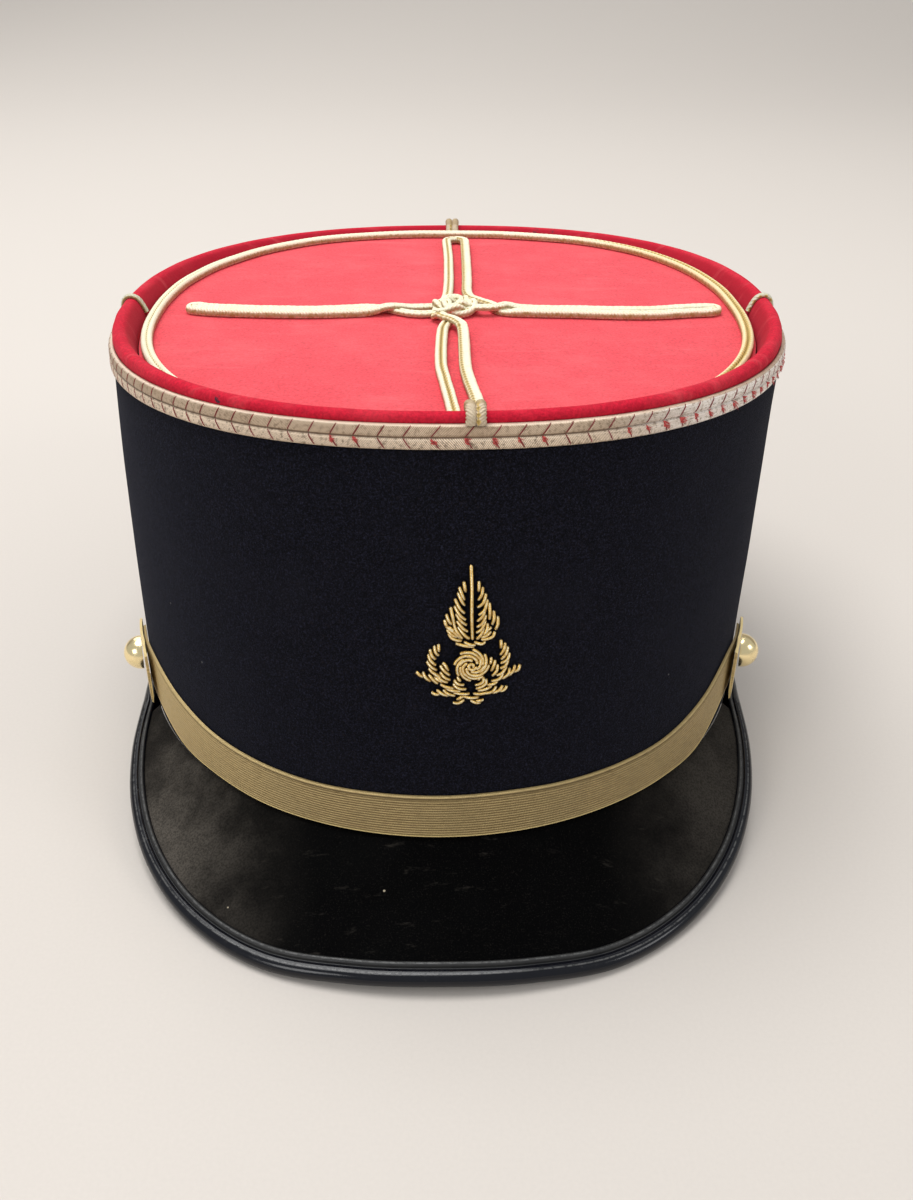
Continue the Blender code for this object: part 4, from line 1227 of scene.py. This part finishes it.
# Each wire runs through points of the front of the side wall: x and height of each, in mm
BADGE_WIRES = {
    "badge_quill": ((6.74, 67.4, 6.9, 62.0, 6.9, 56.0, 7.1, 50.2),),
    "badge_flame_left": (
        (5.2, 63.8, 5.6, 61.3), (4.25, 62.6, 4.9, 60.8, 5.4, 59.4),
        (3.95, 61.4, 4.9, 59.2, 5.5, 58.2), (3.3, 60.0, 4.4, 57.8, 5.5, 56.4),
        (3.2, 58.4, 4.3, 56.4, 5.7, 54.9), (3.5, 56.6, 4.6, 55.0, 5.9, 53.7),
        (3.7, 55.0, 4.9, 53.4, 6.15, 52.2), (3.9, 53.6, 5.1, 52.0, 6.5, 50.5),
        (2.4, 58.1, 2.9, 55.8, 3.2, 54.0), (3.1, 54.3, 3.6, 52.8, 5.0, 50.6),
        (1.5, 56.5, 2.1, 54.9, 2.7, 54.0), (1.15, 55.2, 1.5, 54.0, 1.9, 53.6),
        (2.0, 53.6, 3.2, 52.6), (1.3, 53.8, 3.3, 52.2, 4.5, 50.7),
        (1.6, 53.0, 2.6, 51.9, 3.9, 51.0), (1.9, 52.1, 2.9, 50.9, 4.9, 50.15),
        (3.4, 49.7, 5.0, 49.3, 7.6, 48.7), (5.2, 50.0, 6.6, 49.4, 7.9, 49.2),
    ),
    "badge_flame_right": (
        (8.4, 63.8, 8.35, 61.3), (9.2, 62.5, 9.0, 61.0, 8.2, 59.3),
        (9.9, 61.0, 9.3, 59.0, 8.0, 57.7), (10.2, 59.7, 9.6, 57.4, 8.3, 55.9),
        (9.9, 57.9, 9.2, 56.0, 8.0, 54.5), (10.0, 56.2, 9.2, 54.4, 7.9, 53.2),
        (9.9, 54.9, 9.0, 53.0, 7.8, 51.9), (9.6, 53.2, 8.8, 51.6, 7.9, 50.4),
        (10.6, 58.9, 10.7, 56.5, 10.7, 54.8), (11.5, 57.0, 11.6, 55.3, 11.2, 53.6),
        (10.3, 54.2, 10.1, 52.8, 9.6, 51.5), (12.4, 55.7, 12.4, 54.0, 11.9, 52.4),
        (11.2, 53.2, 10.2, 52.6, 9.3, 51.3), (11.9, 52.2, 11.2, 51.0, 8.8, 50.3),
        (11.1, 52.2, 10.0, 51.4, 8.8, 50.9), (9.9, 49.9, 9.0, 49.5, 7.4, 49.9),
    ),
    "badge_sprig_left": (
        (-0.15, 49.6, -0.1, 47.7), (-1.05, 49.2, -0.8, 47.8, -0.1, 46.7),
        (-2.0, 48.4, -1.6, 47.0, -0.75, 45.8), (-2.4, 47.2, -1.9, 45.9, -0.7, 44.4),
        (-2.7, 45.6, -2.0, 44.6, -0.5, 43.2), (-2.3, 44.0, -1.6, 43.1, 0.3, 41.8),
        (-1.9, 43.2, -0.9, 42.5, 0.5, 41.5), (-5.0, 43.0, -4.1, 42.2, -3.4, 41.7),
        (-3.6, 43.0, -3.0, 41.8, -1.8, 40.6), (-2.4, 42.4, -1.5, 41.4, -0.3, 40.0),
        (-1.2, 41.8, 0.0, 41.0, 1.0, 40.6), (0.6, 45.2, 1.3, 44.6, 1.9, 43.2),
        (0.1, 44.6, 0.9, 43.5, 2.3, 42.0), (0.1, 43.0, 1.0, 41.9, 2.4, 40.9),
        (-0.9, 42.4, 0.4, 41.2, 1.9, 40.3), (0.1, 40.1, 1.1, 39.6, 3.3, 38.9),
        (-1.8, 38.1, -0.8, 37.7, 0.1, 37.6), (-0.7, 38.7, 0.4, 37.9, 2.0, 37.1),
        (0.7, 38.7, 1.7, 37.9, 3.5, 37.1), (1.2, 39.1, 2.6, 38.6, 4.7, 38.3),
        (2.9, 40.2, 3.9, 39.2, 5.9, 38.6), (3.1, 41.1, 3.9, 40.2, 5.4, 39.7),
        (3.9, 41.9, 4.2, 41.2, 4.6, 40.6), (2.9, 38.0, 4.3, 37.8, 6.6, 37.5),
        (5.0, 37.0, 6.6, 36.7, 8.6, 36.6), (3.7, 36.2, 4.6, 36.9, 5.4, 37.0),
        (2.8, 35.5, 4.0, 35.5, 5.4, 36.2),
    ),
    "badge_sprig_right": (
        (13.15, 50.2, 13.2, 48.0), (14.1, 49.4, 13.8, 48.0, 13.0, 46.4),
        (14.7, 48.5, 14.2, 46.8, 13.2, 45.3), (15.05, 47.0, 14.6, 45.6, 13.1, 44.4),
        (14.8, 45.4, 14.2, 44.1, 13.0, 43.2), (14.5, 43.8, 13.5, 42.4, 12.2, 41.6),
        (17.4, 43.9, 16.9, 42.8, 15.9, 42.2), (16.3, 43.9, 16.0, 42.9, 14.9, 41.3),
        (15.2, 43.3, 14.8, 42.0, 13.4, 40.7), (12.0, 45.5, 11.7, 44.4, 11.1, 42.7),
        (12.5, 44.4, 12.3, 43.0, 11.3, 41.5), (11.1, 46.2, 11.0, 45.2, 10.9, 44.4),
        (13.9, 42.4, 12.9, 41.0, 11.1, 40.3), (12.6, 40.3, 11.8, 39.9, 10.2, 39.5),
        (14.7, 39.0, 13.8, 38.1, 12.8, 37.8), (13.8, 39.2, 12.9, 38.2, 11.4, 37.4),
        (12.4, 39.1, 11.4, 38.0, 9.0, 37.4), (11.4, 39.2, 10.0, 38.7, 8.2, 38.2),
        (10.0, 41.1, 9.9, 39.9, 7.8, 38.6), (9.4, 41.6, 9.3, 40.4, 7.6, 39.5),
        (8.8, 41.9, 8.2, 40.8), (10.9, 37.9, 9.3, 37.6, 7.2, 37.5),
        (6.6, 36.0, 7.8, 35.5, 9.0, 35.2), (9.6, 36.0, 8.4, 35.9, 7.8, 35.7),
    ),
}


def badge_places(x, height, out):
    """Points of the front of the side wall at x and height, moved out from it, and their angle."""
    low = np.full_like(x, from_front(-45.0))
    high = np.full_like(x, from_front(45.0))
    for _ in range(30):
        angle = (low + high) / 2
        short = wall_at(angle, height)[..., 0] < x
        low = np.where(short, angle, low)
        high = np.where(short, high, angle)
    return wall_at(angle, height, out=out), angle


class KEPI_OT_badge(PieceMaker, bpy.types.Operator):
    """Sew the badge in coiled gold wire: a flaming ball between two sprigs"""

    bl_idname = "kepi.badge"
    bl_label = "Badge"

    def build(self, sizes, colours):
        look = self.wire_look(colours)
        for node, wires in BADGE_WIRES.items():
            bm = bmesh.new()
            for points in wires:
                self.add_wire(bm, curve(np.reshape(points, (-1, 2))))
            finish_piece(f"{node}_wire", bm, look, [node])
        bm = bmesh.new()
        for path in self.ball_paths():
            self.add_wire(bm, path, on_ball=True)
        finish_piece("badge_ball_wire", bm, look, ["badge_ball"])

    def add_wire(self, bm, path, on_ball=False):
        """Adds one coiled wire along a path of x and height in mm."""
        path, run = even_steps(np.asarray(path) * MM, WIRE_COIL / 2)
        x, height = path.T
        along = np.linspace(0.0, 1.0, len(x))
        out = WIRE_END_OUT + WIRE_BULGE * np.sin(np.pi * along)
        if on_ball:
            from_centre = np.hypot(x - BALL_CENTRE[0] * MM, height - BALL_CENTRE[1] * MM)
            round_part = np.clip(1 - (from_centre / (BALL_RADIUS * MM)) ** 2, 0, 1)
            out = BALL_OUT + BALL_DOME * np.sqrt(round_part)
        points, angle = badge_places(x, height + WIRE_LIFT, out)
        up = [*outward(angle[len(angle) // 2], 0.5), 0.0]
        taper = np.clip(np.minimum(along, 1 - along) * run / (0.35 * MM), 0, 1) ** 0.5
        coil = 1 + 0.09 * (-1.0) ** np.arange(len(x))
        add_tube(bm, points, WIRE_RADIUS * taper * coil, 8, up=up)

    def ball_paths(self):
        """Two rings of arcs that whirl inward and a plain coil in the middle."""
        centre = np.array(BALL_CENTRE)
        share = np.linspace(0.0, 1.0, 16)
        for arcs, reach, first, last in ((8, 92.0, 3.7, 2.2), (6, 104.0, 2.6, 1.1)):
            for arc in range(arcs):
                turn = np.radians(360.0 * arc / arcs - reach * share)
                radius = first + (last - first) * share
                yield centre + np.column_stack([np.cos(turn), np.sin(turn)]) * radius[:, None]
        turn = np.linspace(0.0, -2.6 * math.pi, 40)
        radius = np.linspace(1.0, 0.15, 40)
        yield centre + np.column_stack([np.cos(turn), np.sin(turn)]) * radius[:, None]

    def wire_look(self, colours):
        look = Look("gold_wire_coil", roughness=0.3, metallic=0.85)
        along, around = look.along_across()
        coil = (along * (2 * math.pi / WIRE_COIL) + around * (2 * math.pi)).sine()
        wear = look.noise(look.coordinates(), 0.8 * MM, 3.0, 0.7)
        beside = abs(around - 0.25) * 4
        tint = look.layers(
            colours.bullion_deep,
            (coil.fade(-1.0, 0.3, 0.35, 1.0), colours.bullion),
            (wear.fade(0.45, 0.7, 0.0, 0.5), shade(colours.bullion_deep, 1.3)),
            (beside.fade(0.08, 0.34, 0.95, 0.0) * wear.fade(0.4, 0.62, 1.0, 0.3), WIRE_SHINE),
            (beside.fade(0.36, 0.78, 0.0, 0.97), shade(colours.bullion_deep, 0.22)),
        )
        relief = look.bump(coil * 0.5 + wear * 0.3, 0.08 * MM, 0.6)
        return look.paint(tint, relief, wear.fade(0.3, 0.7, 0.2, 0.42))


# ---------------------------------------------------------------- strap and buttons


class KEPI_OT_strap(PieceMaker, bpy.types.Operator):
    """Make the ribbed gold chin strap and its two satin tabs"""

    bl_idname = "kepi.strap"
    bl_label = "Chin strap"

    def build(self, sizes, colours):
        ribbon = self.ribbon_look(colours, sizes.strap_ribs)
        ends = -STRAP_END_ANGLE, STRAP_END_ANGLE
        self.band("chin_strap_ribbon", ends, GAP, ribbon, "chin_strap", ribs=sizes.strap_ribs)
        satin = self.satin_look(colours)
        tab = 2 * GAP + STRAP_THICK, satin
        for side, name in ((-1, "left"), (1, "right")):
            ends = side * TAB_START_ANGLE, side * TAB_END_ANGLE
            rest = f"strap_tab_{name}", TAB_EXTRA, TAB_LIFT
            self.band(f"strap_tab_satin_{name}", ends, *tab, *rest)

    def band(self, name, ends, out, look, node, extra=0.0, lift=0.0, ribs=0):
        start, end = ends
        span = abs(end - start)
        run = math.radians(span) * STRAP_RADIUS
        back = 0.12

        def place(u, v):
            degrees = start + (end - start) * u
            low, high = strap_edges(degrees)
            low, high = low - extra, high + extra
            share = np.clip((v - back) / (1 - back), 0, 1)
            edge = np.minimum(share, 1 - share)
            face = STRAP_THICK * np.clip(edge / 0.03, 0, 1) ** 0.5
            if ribs:
                wave = np.abs(np.sin(np.pi * share * ribs))
                face = face * (0.72 + 0.28 * wave**0.7)
                line = np.abs(share - STRAP_LINE) < 0.015
                face = np.where(line, face * 0.6, face)
            height = low + (high - low) * np.where(v < back, 1 - v / back, share)
            stand = out + lift * np.clip(1 - u / TAB_LIFT_SHARE, 0, 1)
            out_here = np.where(v < back, stand, stand + face)
            return wall_at(from_front(degrees), height, out=out_here)

        def unfold(u, v):
            return u * run, np.clip((v - back) / (1 - back), 0, 1)

        cells = int(span * 3), ribs * 7 + 10 if ribs else 40
        sheet_piece(name, cells, place, look, node, "gold_ribbon", unfold, 70)

    def ribbon_look(self, colours, ribs):
        look = Look("gold_ribbon_ribs", roughness=0.45, metallic=0.45)
        along, across = look.along_across()
        rib = abs((across * (math.pi * ribs)).sine())
        weave = ((along + across * 0.002) * (2 * math.pi / (0.42 * MM))).sine()
        at = look.coordinates()
        patches = look.noise(at, 16 * MM, 3.0, 0.6)
        drawn = look.noise(look.mapped(at, (1, 1, 6)), 2.4 * MM, 3.0, 0.7)
        mottle = look.noise(at, 0.7 * MM, 3.0, 0.7)
        left = look.split(at)[0].fade(-0.075, -0.025, 1.0, 0.0)
        line = abs(across - STRAP_LINE).fade(0.008, 0.02, 1.0, 0.0)
        low, high = across.fade(0.015, 0.07, 1.0, 0.0), across.fade(0.965, 0.985)
        gold, deep = colours.ribbon, colours.ribbon_deep
        tint = look.layers(
            deep,
            (rib.fade(0.1, 0.8), gold),
            (drawn.fade(0.45, 0.65, 0.0, 0.4), deep),
            (weave.fade(-1.0, 0.6, 0.35, 0.0), deep),
            (patches.fade(0.4, 0.7, 0.0, 0.45), shade(gold, 0.6)),
            (mottle.fade(0.55, 0.7, 0.0, 0.22), shade(gold, 1.5)),
            (left * 0.35, shade(gold, 1.5)),
            (line * 0.75, shade(deep, 0.7)),
            ((low * 0.9).at_least(high * 0.15), STRAP_EDGE),
        )
        relief = look.bump(rib * 0.5 + weave * 0.3 + mottle * 0.3, 0.1 * MM, 0.6)
        return look.paint(tint, relief, mottle.fade(0.3, 0.7, 0.36, 0.55))

    def satin_look(self, colours):
        look = Look("gold_satin", roughness=0.38, metallic=0.5)
        along, across = look.along_across()
        weave = (along * (2 * math.pi / (0.35 * MM))).sine()
        at = look.coordinates()
        mottle = look.noise(at, 2.0 * MM, 3.0, 0.6)
        drawn = look.noise(look.mapped(at, (1, 1, 7)), 3.0 * MM, 3.0, 0.7)
        tint = look.layers(
            colours.tab,
            (mottle.fade(0.35, 0.7, 0.0, 0.5), shade(colours.tab, 0.6)),
            (drawn.fade(0.4, 0.65, 0.0, 0.6), shade(colours.tab, 0.5)),
            (weave.fade(-1.0, 1.0, 0.25, 0.0), shade(colours.tab, 0.45)),
            (abs(across - 0.5).fade(0.43, 0.47) * 0.6, shade(colours.tab, 1.4)),
        )
        return look.paint(tint, look.bump(weave * 0.4 + mottle * 0.5, 0.08 * MM, 0.5))


class KEPI_OT_buttons(PieceMaker, bpy.types.Operator):
    """Turn the two brass ball buttons"""

    bl_idname = "kepi.buttons"
    bl_label = "Ball buttons"

    def build(self, sizes, colours):
        look = self.brass_look(colours)
        for side, name in ((-1, "left"), (1, "right")):
            bm = bmesh.new()
            ball = BUTTON_RADIUS * np.column_stack([np.cos(BUTTON_ARC), np.sin(BUTTON_ARC)])
            ball = [bm.verts.new((x, 0.0, z)) for x, z in ball]
            foot = [bm.verts.new((x * MM, 0.0, z * MM)) for x, z in BUTTON_FOOT]
            chain = foot + ball
            edges = [bm.edges.new(pair) for pair in zip(chain, chain[1:])]
            spin = {"cent": (0, 0, 0), "axis": (0, 0, 1), "angle": 2 * math.pi}
            bmesh.ops.spin(bm, geom=chain + edges, **spin, steps=72, use_merge=True)
            degrees = side * BUTTON_ANGLE
            angle = from_front([degrees])
            low, high = strap_edges(degrees)
            out = 2 * (GAP + STRAP_THICK) + GAP + BUTTON_CUT
            centre = wall_at(angle, (low + high) / 2, out=np.array([out]))[0]
            facing = Vector((*outward(angle, 0.0)[0], 0.0)).to_track_quat("Z", "Y")
            bm.transform(Matrix.Translation(centre) @ facing.to_matrix().to_4x4())
            finish_piece(f"brass_button_{name}", bm, look, [f"button_{name}"], crease=50)

    def brass_look(self, colours):
        look = Look("polished_brass", roughness=0.2, metallic=1.0)
        at = look.coordinates()
        tarnish = look.noise(at, 3.0 * MM, 4.0, 0.6)
        scratches = look.noise(look.mapped(at, (1, 1, 9)), 1.2 * MM, 2.0)
        dull = shade(colours.brass, 0.62)
        tint = look.mix(tarnish.fade(0.48, 0.75, 0.0, 0.4), colours.brass, dull)
        relief = look.bump(scratches, 0.02 * MM, 0.3)
        return look.paint(tint, relief, tarnish.fade(0.35, 0.75, 0.16, 0.36))


# ---------------------------------------------------------------- peak


# Section of the binding in mm: along the peak's slope from its edge, and up from its top face
BINDING = (
    (-5.4, 0.3), (-5.1, 0.9), (-4.3, 1.0), (-3.7, 0.5), (-3.1, 1.05), (-1.7, 1.3), (-0.5, 0.7),
    (0.0, -0.6), (-0.5, -1.9), (-1.8, -2.6), (-4.8, -2.7), (-5.0, -2.1), (-2.9, -2.1),
    (-2.9, 0.3),
)
BINDING_ROUND = 10  # the section is rounded up to this point


class KEPI_OT_peak(PieceMaker, bpy.types.Operator):
    """Make the leather peak and its glossy double bead"""

    bl_idname = "kepi.peak"
    bl_label = "Peak"

    def build(self, sizes, colours):
        def panel_place(u, v):
            degrees = -PANEL_END_ANGLE + 2 * PANEL_END_ANGLE * u
            inner = (PANEL_GAP - peak_width(degrees)) / math.cos(PEAK_SLOPE)
            outer = -PANEL_TUCK
            share = np.interp(v, (0.0, 0.5, 0.55, 0.95, 1.0), (0.0, 1.0, 1.0, 0.0, 0.0))
            up = np.interp(v, (0.0, 0.5, 0.55, 0.95, 1.0), (0.0, 0.0, -1.0, -1.0, 0.0))
            inner = inner - up * PEAK_THICK * math.tan(PEAK_SLOPE)
            return peak_place(degrees, inner + (outer - inner) * share, up * PEAK_THICK)

        leather = self.leather_look(colours)
        names = "peak", "peak_leather"
        sheet_piece("peak_leather_panel", (200, 100), panel_place, leather, *names, crease=40)

        section = np.array(BINDING + BINDING[:1])

        def profile(at, column):
            rounded = section[: BINDING_ROUND + 1, column]
            rounded = spline(rounded, np.minimum(at, BINDING_ROUND))
            flat = np.interp(at, range(len(section)), section[:, column])
            return np.where(at <= BINDING_ROUND, rounded, flat)

        def binding_place(u, v):
            degrees = -PEAK_END_ANGLE + 2 * PEAK_END_ANGLE * u
            room = peak_width(degrees) - 0.6 * MM
            size = np.minimum(1.0, room / (BEAD_REACH * math.cos(PEAK_SLOPE))) * MM
            at = v * (len(section) - 1)
            return peak_place(degrees, profile(at, 0) * size, profile(at, 1) * size)

        def unfold(u, v):
            return u * BINDING_RUN, v * (len(section) - 1)

        cells = 320, (len(section) - 1) * 5
        bead = self.bead_look(colours)
        names = "peak_binding", "peak_bead"
        sheet_piece("peak_double_bead", cells, binding_place, bead, *names, unfold, 60)

    def leather_look(self, colours):
        look = Look("worn_leather", roughness=0.6, Specular_IOR_Level=0.02)
        at = look.coordinates()
        grain = look.cells(at, 0.9 * MM, "DISTANCE_TO_EDGE")
        fine = look.noise(at, 0.5 * MM, 3.0, 0.6)
        wear = look.noise(at, 30 * MM, 5.0, 0.62)
        scuffs = look.noise(look.mapped(at, (1, 4, 1), (0, 0, 0.5)), 9 * MM, 4.0, 0.7)
        speckle = look.noise(at, 0.35 * MM, 2.0, 0.7)
        x = look.split(at)[0]
        # Painted sheen: the panel lighter towards its left and right sides, mixed with wear
        # patches
        sheen_and_rubbing = x.fade(-0.074, -0.028, 1.0, 0.0).at_least(x.fade(0.035, 0.070, 0.0, 0.45))
        sheen_and_rubbing = (sheen_and_rubbing * wear.fade(0.34, 0.64, 0.2, 1.0)).at_most(1.0)
        worn = colours.leather_worn_and_sheen
        tint = look.layers(
            colours.leather,
            (sheen_and_rubbing * fine.fade(0.35, 0.62, 0.55, 1.0), worn),
            (scuffs.fade(0.6, 0.76, 0.0, 0.3), shade(worn, 0.6)),
            (speckle.fade(0.55, 0.72, 0.0, 0.2), shade(worn, 0.35)),
            (look.specks(at, 7 * MM, 0.05, 13 * MM, 0.53) * 0.9, DUST),
        )
        relief = look.bump(grain.fade(0.0, 0.2) * 0.5 + fine * 0.5, 0.08 * MM, 0.5)
        return look.paint(tint, relief, wear.fade(0.35, 0.7, 0.5, 0.72))

    def bead_look(self, colours):
        """The UV map holds the number of the profile's point: below 3.35 lies the inner bead."""
        look = Look("glossy_bead", roughness=0.2, Specular_IOR_Level=0.35)
        at = look.coordinates()
        across = look.along_across()[1]
        wear = look.noise(at, 7 * MM, 4.0, 0.65)
        nicks = look.noise(at, 1.1 * MM, 4.0, 0.7)
        inner = across.fade(3.0, 3.35, 1.0, 0.0) * across.fade(0.25, 0.6)
        scraped = wear.fade(0.55, 0.72) * nicks.fade(0.5, 0.62)
        dulled = (inner * wear.fade(0.3, 0.6, 0.6, 1.0)).at_least(scraped)
        # Painted highlights: thin pale lines along the crowns of the inner bead and the outer
        # roll, broken by nicks
        crown_highlight = abs(across - 1.4).fade(0.1, 0.35, 1.0, 0.0) * nicks.fade(0.42, 0.6, 0.15, 1.0)
        ridge_highlight = abs(across - 4.5).fade(0.05, 0.18, 1.0, 0.0) * nicks.fade(0.4, 0.55, 0.1, 1.0)
        tint = look.layers(
            colours.bead,
            (dulled, colours.bead_worn),
            (nicks.fade(0.6, 0.72, 0.0, 0.5) * inner, shade(colours.bead, 2.0)),
            ((crown_highlight * 0.7).at_least(ridge_highlight * 0.8), shade(colours.bead_worn, 6.0)),
        )
        rough = (wear.fade(0.35, 0.7, 0.1, 0.24) + dulled * 0.3).at_most(0.8)
        return look.paint(tint, look.bump(nicks + wear * 0.5, 0.06 * MM, 0.35), rough)


# ---------------------------------------------------------------- stage


# Lamps: name, place and aim in metres, size and power in watts
LAMPS = (
    ("light_above", (-0.25, 0.2, 1.5), (0.0, 0.0, 0.0), 1.2, 18.0),
    ("light_front", (-1.0, -1.2, 0.9), (0.0, 0.0, 0.05), 0.7, 6.0),
    ("light_right", (1.1, -0.5, 0.8), (0.0, 0.0, 0.05), 0.5, 2.5),
    ("light_back", (-0.7, 1.3, 1.1), (0.0, 0.0, 0.05), 1.0, 4.0),
    ("light_backdrop", (0.0, 1.4, 2.4), (0.0, 3.4, 0.6), 2.0, 14.0),
)


class KEPI_OT_stage(PieceMaker, bpy.types.Operator):
    """Set the pale floor, the soft studio light and the camera"""

    bl_idname = "kepi.stage"
    bl_label = "Stage"

    def build(self, sizes, colours):
        self.floor(colours)
        for lamp in LAMPS:
            self.light(*lamp)
        bpy.context.scene.view_settings.view_transform = "Standard"
        world = bpy.data.worlds.new("studio")
        world.use_nodes = True
        background = world.node_tree.nodes["Background"]
        background.inputs["Color"].default_value = (0.96, 0.98, 1.0, 1.0)
        background.inputs["Strength"].default_value = 0.5
        bpy.context.scene.world = world
        self.camera()

    def floor(self, colours):
        def place(u, v):
            x = (u - 0.5) * FLOOR_WIDTH
            run = v * (FLOOR_RUN + FLOOR_BEND * math.pi / 2 + FLOOR_WALL)
            turn = np.clip((run - FLOOR_RUN) / FLOOR_BEND, 0, math.pi / 2)
            wall = np.maximum(run - FLOOR_RUN - FLOOR_BEND * math.pi / 2, 0)
            y = FLOOR_START + np.minimum(run, FLOOR_RUN) + FLOOR_BEND * np.sin(turn)
            z = FLOOR_BEND * (1 - np.cos(turn)) + wall
            return np.column_stack([x, y, z])

        bm = bmesh.new()
        add_sheet(bm, 4, 90, place)
        bmesh.ops.recalc_face_normals(bm, faces=bm.faces)
        mesh = bpy.data.meshes.new("studio_floor")
        bm.to_mesh(mesh)
        bm.free()
        mesh.shade_smooth()
        look = Look("studio_paper", roughness=0.9)
        grain = look.noise(look.coordinates(), 0.9 * MM, 2.0)
        paper = look.mix(grain, shade(colours.floor, 0.97), shade(colours.floor, 1.03))
        mesh.materials.append(look.paint(paper))
        floor = bpy.data.objects.new("studio_floor", mesh)
        bpy.context.scene.collection.objects.link(floor)

    def light(self, name, place, aim, size, power):
        lamp = bpy.data.lights.new(name, "AREA")
        lamp.shape = "DISK"
        lamp.size = size
        lamp.energy = power
        holder = bpy.data.objects.new(name, lamp)
        holder.location = place
        holder.rotation_euler = (Vector(aim) - Vector(place)).to_track_quat("-Z", "Y").to_euler()
        bpy.context.scene.collection.objects.link(holder)

    def camera(self):
        lens = bpy.data.cameras.new("photo_camera")
        lens.sensor_fit = "VERTICAL"
        lens.sensor_height = SENSOR
        lens.lens = LENS
        lens.clip_start = 0.01
        camera = bpy.data.objects.new("photo_camera", lens)
        turn = Matrix.Rotation(-CAMERA_TURN, 4, "Z") @ Matrix.Rotation(
            math.pi / 2 - CAMERA_DOWN, 4, "X"
        )
        camera.matrix_world = LIE @ Matrix.Translation(CAMERA_PLACE) @ turn
        bpy.context.scene.collection.objects.link(camera)
        bpy.context.scene.camera = camera


# ---------------------------------------------------------------- add-on


MAKERS = (
    KEPI_OT_side_wall,
    KEPI_OT_red_top,
    KEPI_OT_braid,
    KEPI_OT_cords,
    KEPI_OT_rim_cords,
    KEPI_OT_badge,
    KEPI_OT_strap,
    KEPI_OT_buttons,
    KEPI_OT_peak,
    KEPI_OT_stage,
)


class KEPI_PT_maker(bpy.types.Panel):
    """Lists the pieces of the cap and the sizes and colours they take."""

    bl_idname = "KEPI_PT_maker"
    bl_label = "Kepi cap"
    bl_space_type = "VIEW_3D"
    bl_region_type = "UI"
    bl_category = "Kepi cap"

    def draw(self, context):
        for maker in MAKERS:
            self.layout.operator(maker.bl_idname)
        for group in (context.scene.kepi_sizes, context.scene.kepi_colours):
            box = self.layout.box()
            for name in group.bl_rna.properties.keys():
                if name not in ("rna_type", "name"):
                    box.prop(group, name)


CLASSES = (KepiSizes, KepiColours, *MAKERS, KEPI_PT_maker)


def register():
    for each in CLASSES:
        bpy.utils.register_class(each)
    bpy.types.Scene.kepi_sizes = PointerProperty(type=KepiSizes)
    bpy.types.Scene.kepi_colours = PointerProperty(type=KepiColours)


def unregister():
    del bpy.types.Scene.kepi_colours
    del bpy.types.Scene.kepi_sizes
    for each in reversed(CLASSES):
        bpy.utils.unregister_class(each)


def corners(box):
    return [list(corner) for corner in box]


def main():
    register()
    for maker in MAKERS:
        getattr(bpy.ops.kepi, maker.bl_idname.split(".")[1])()


if __name__ == "__main__":
    main()
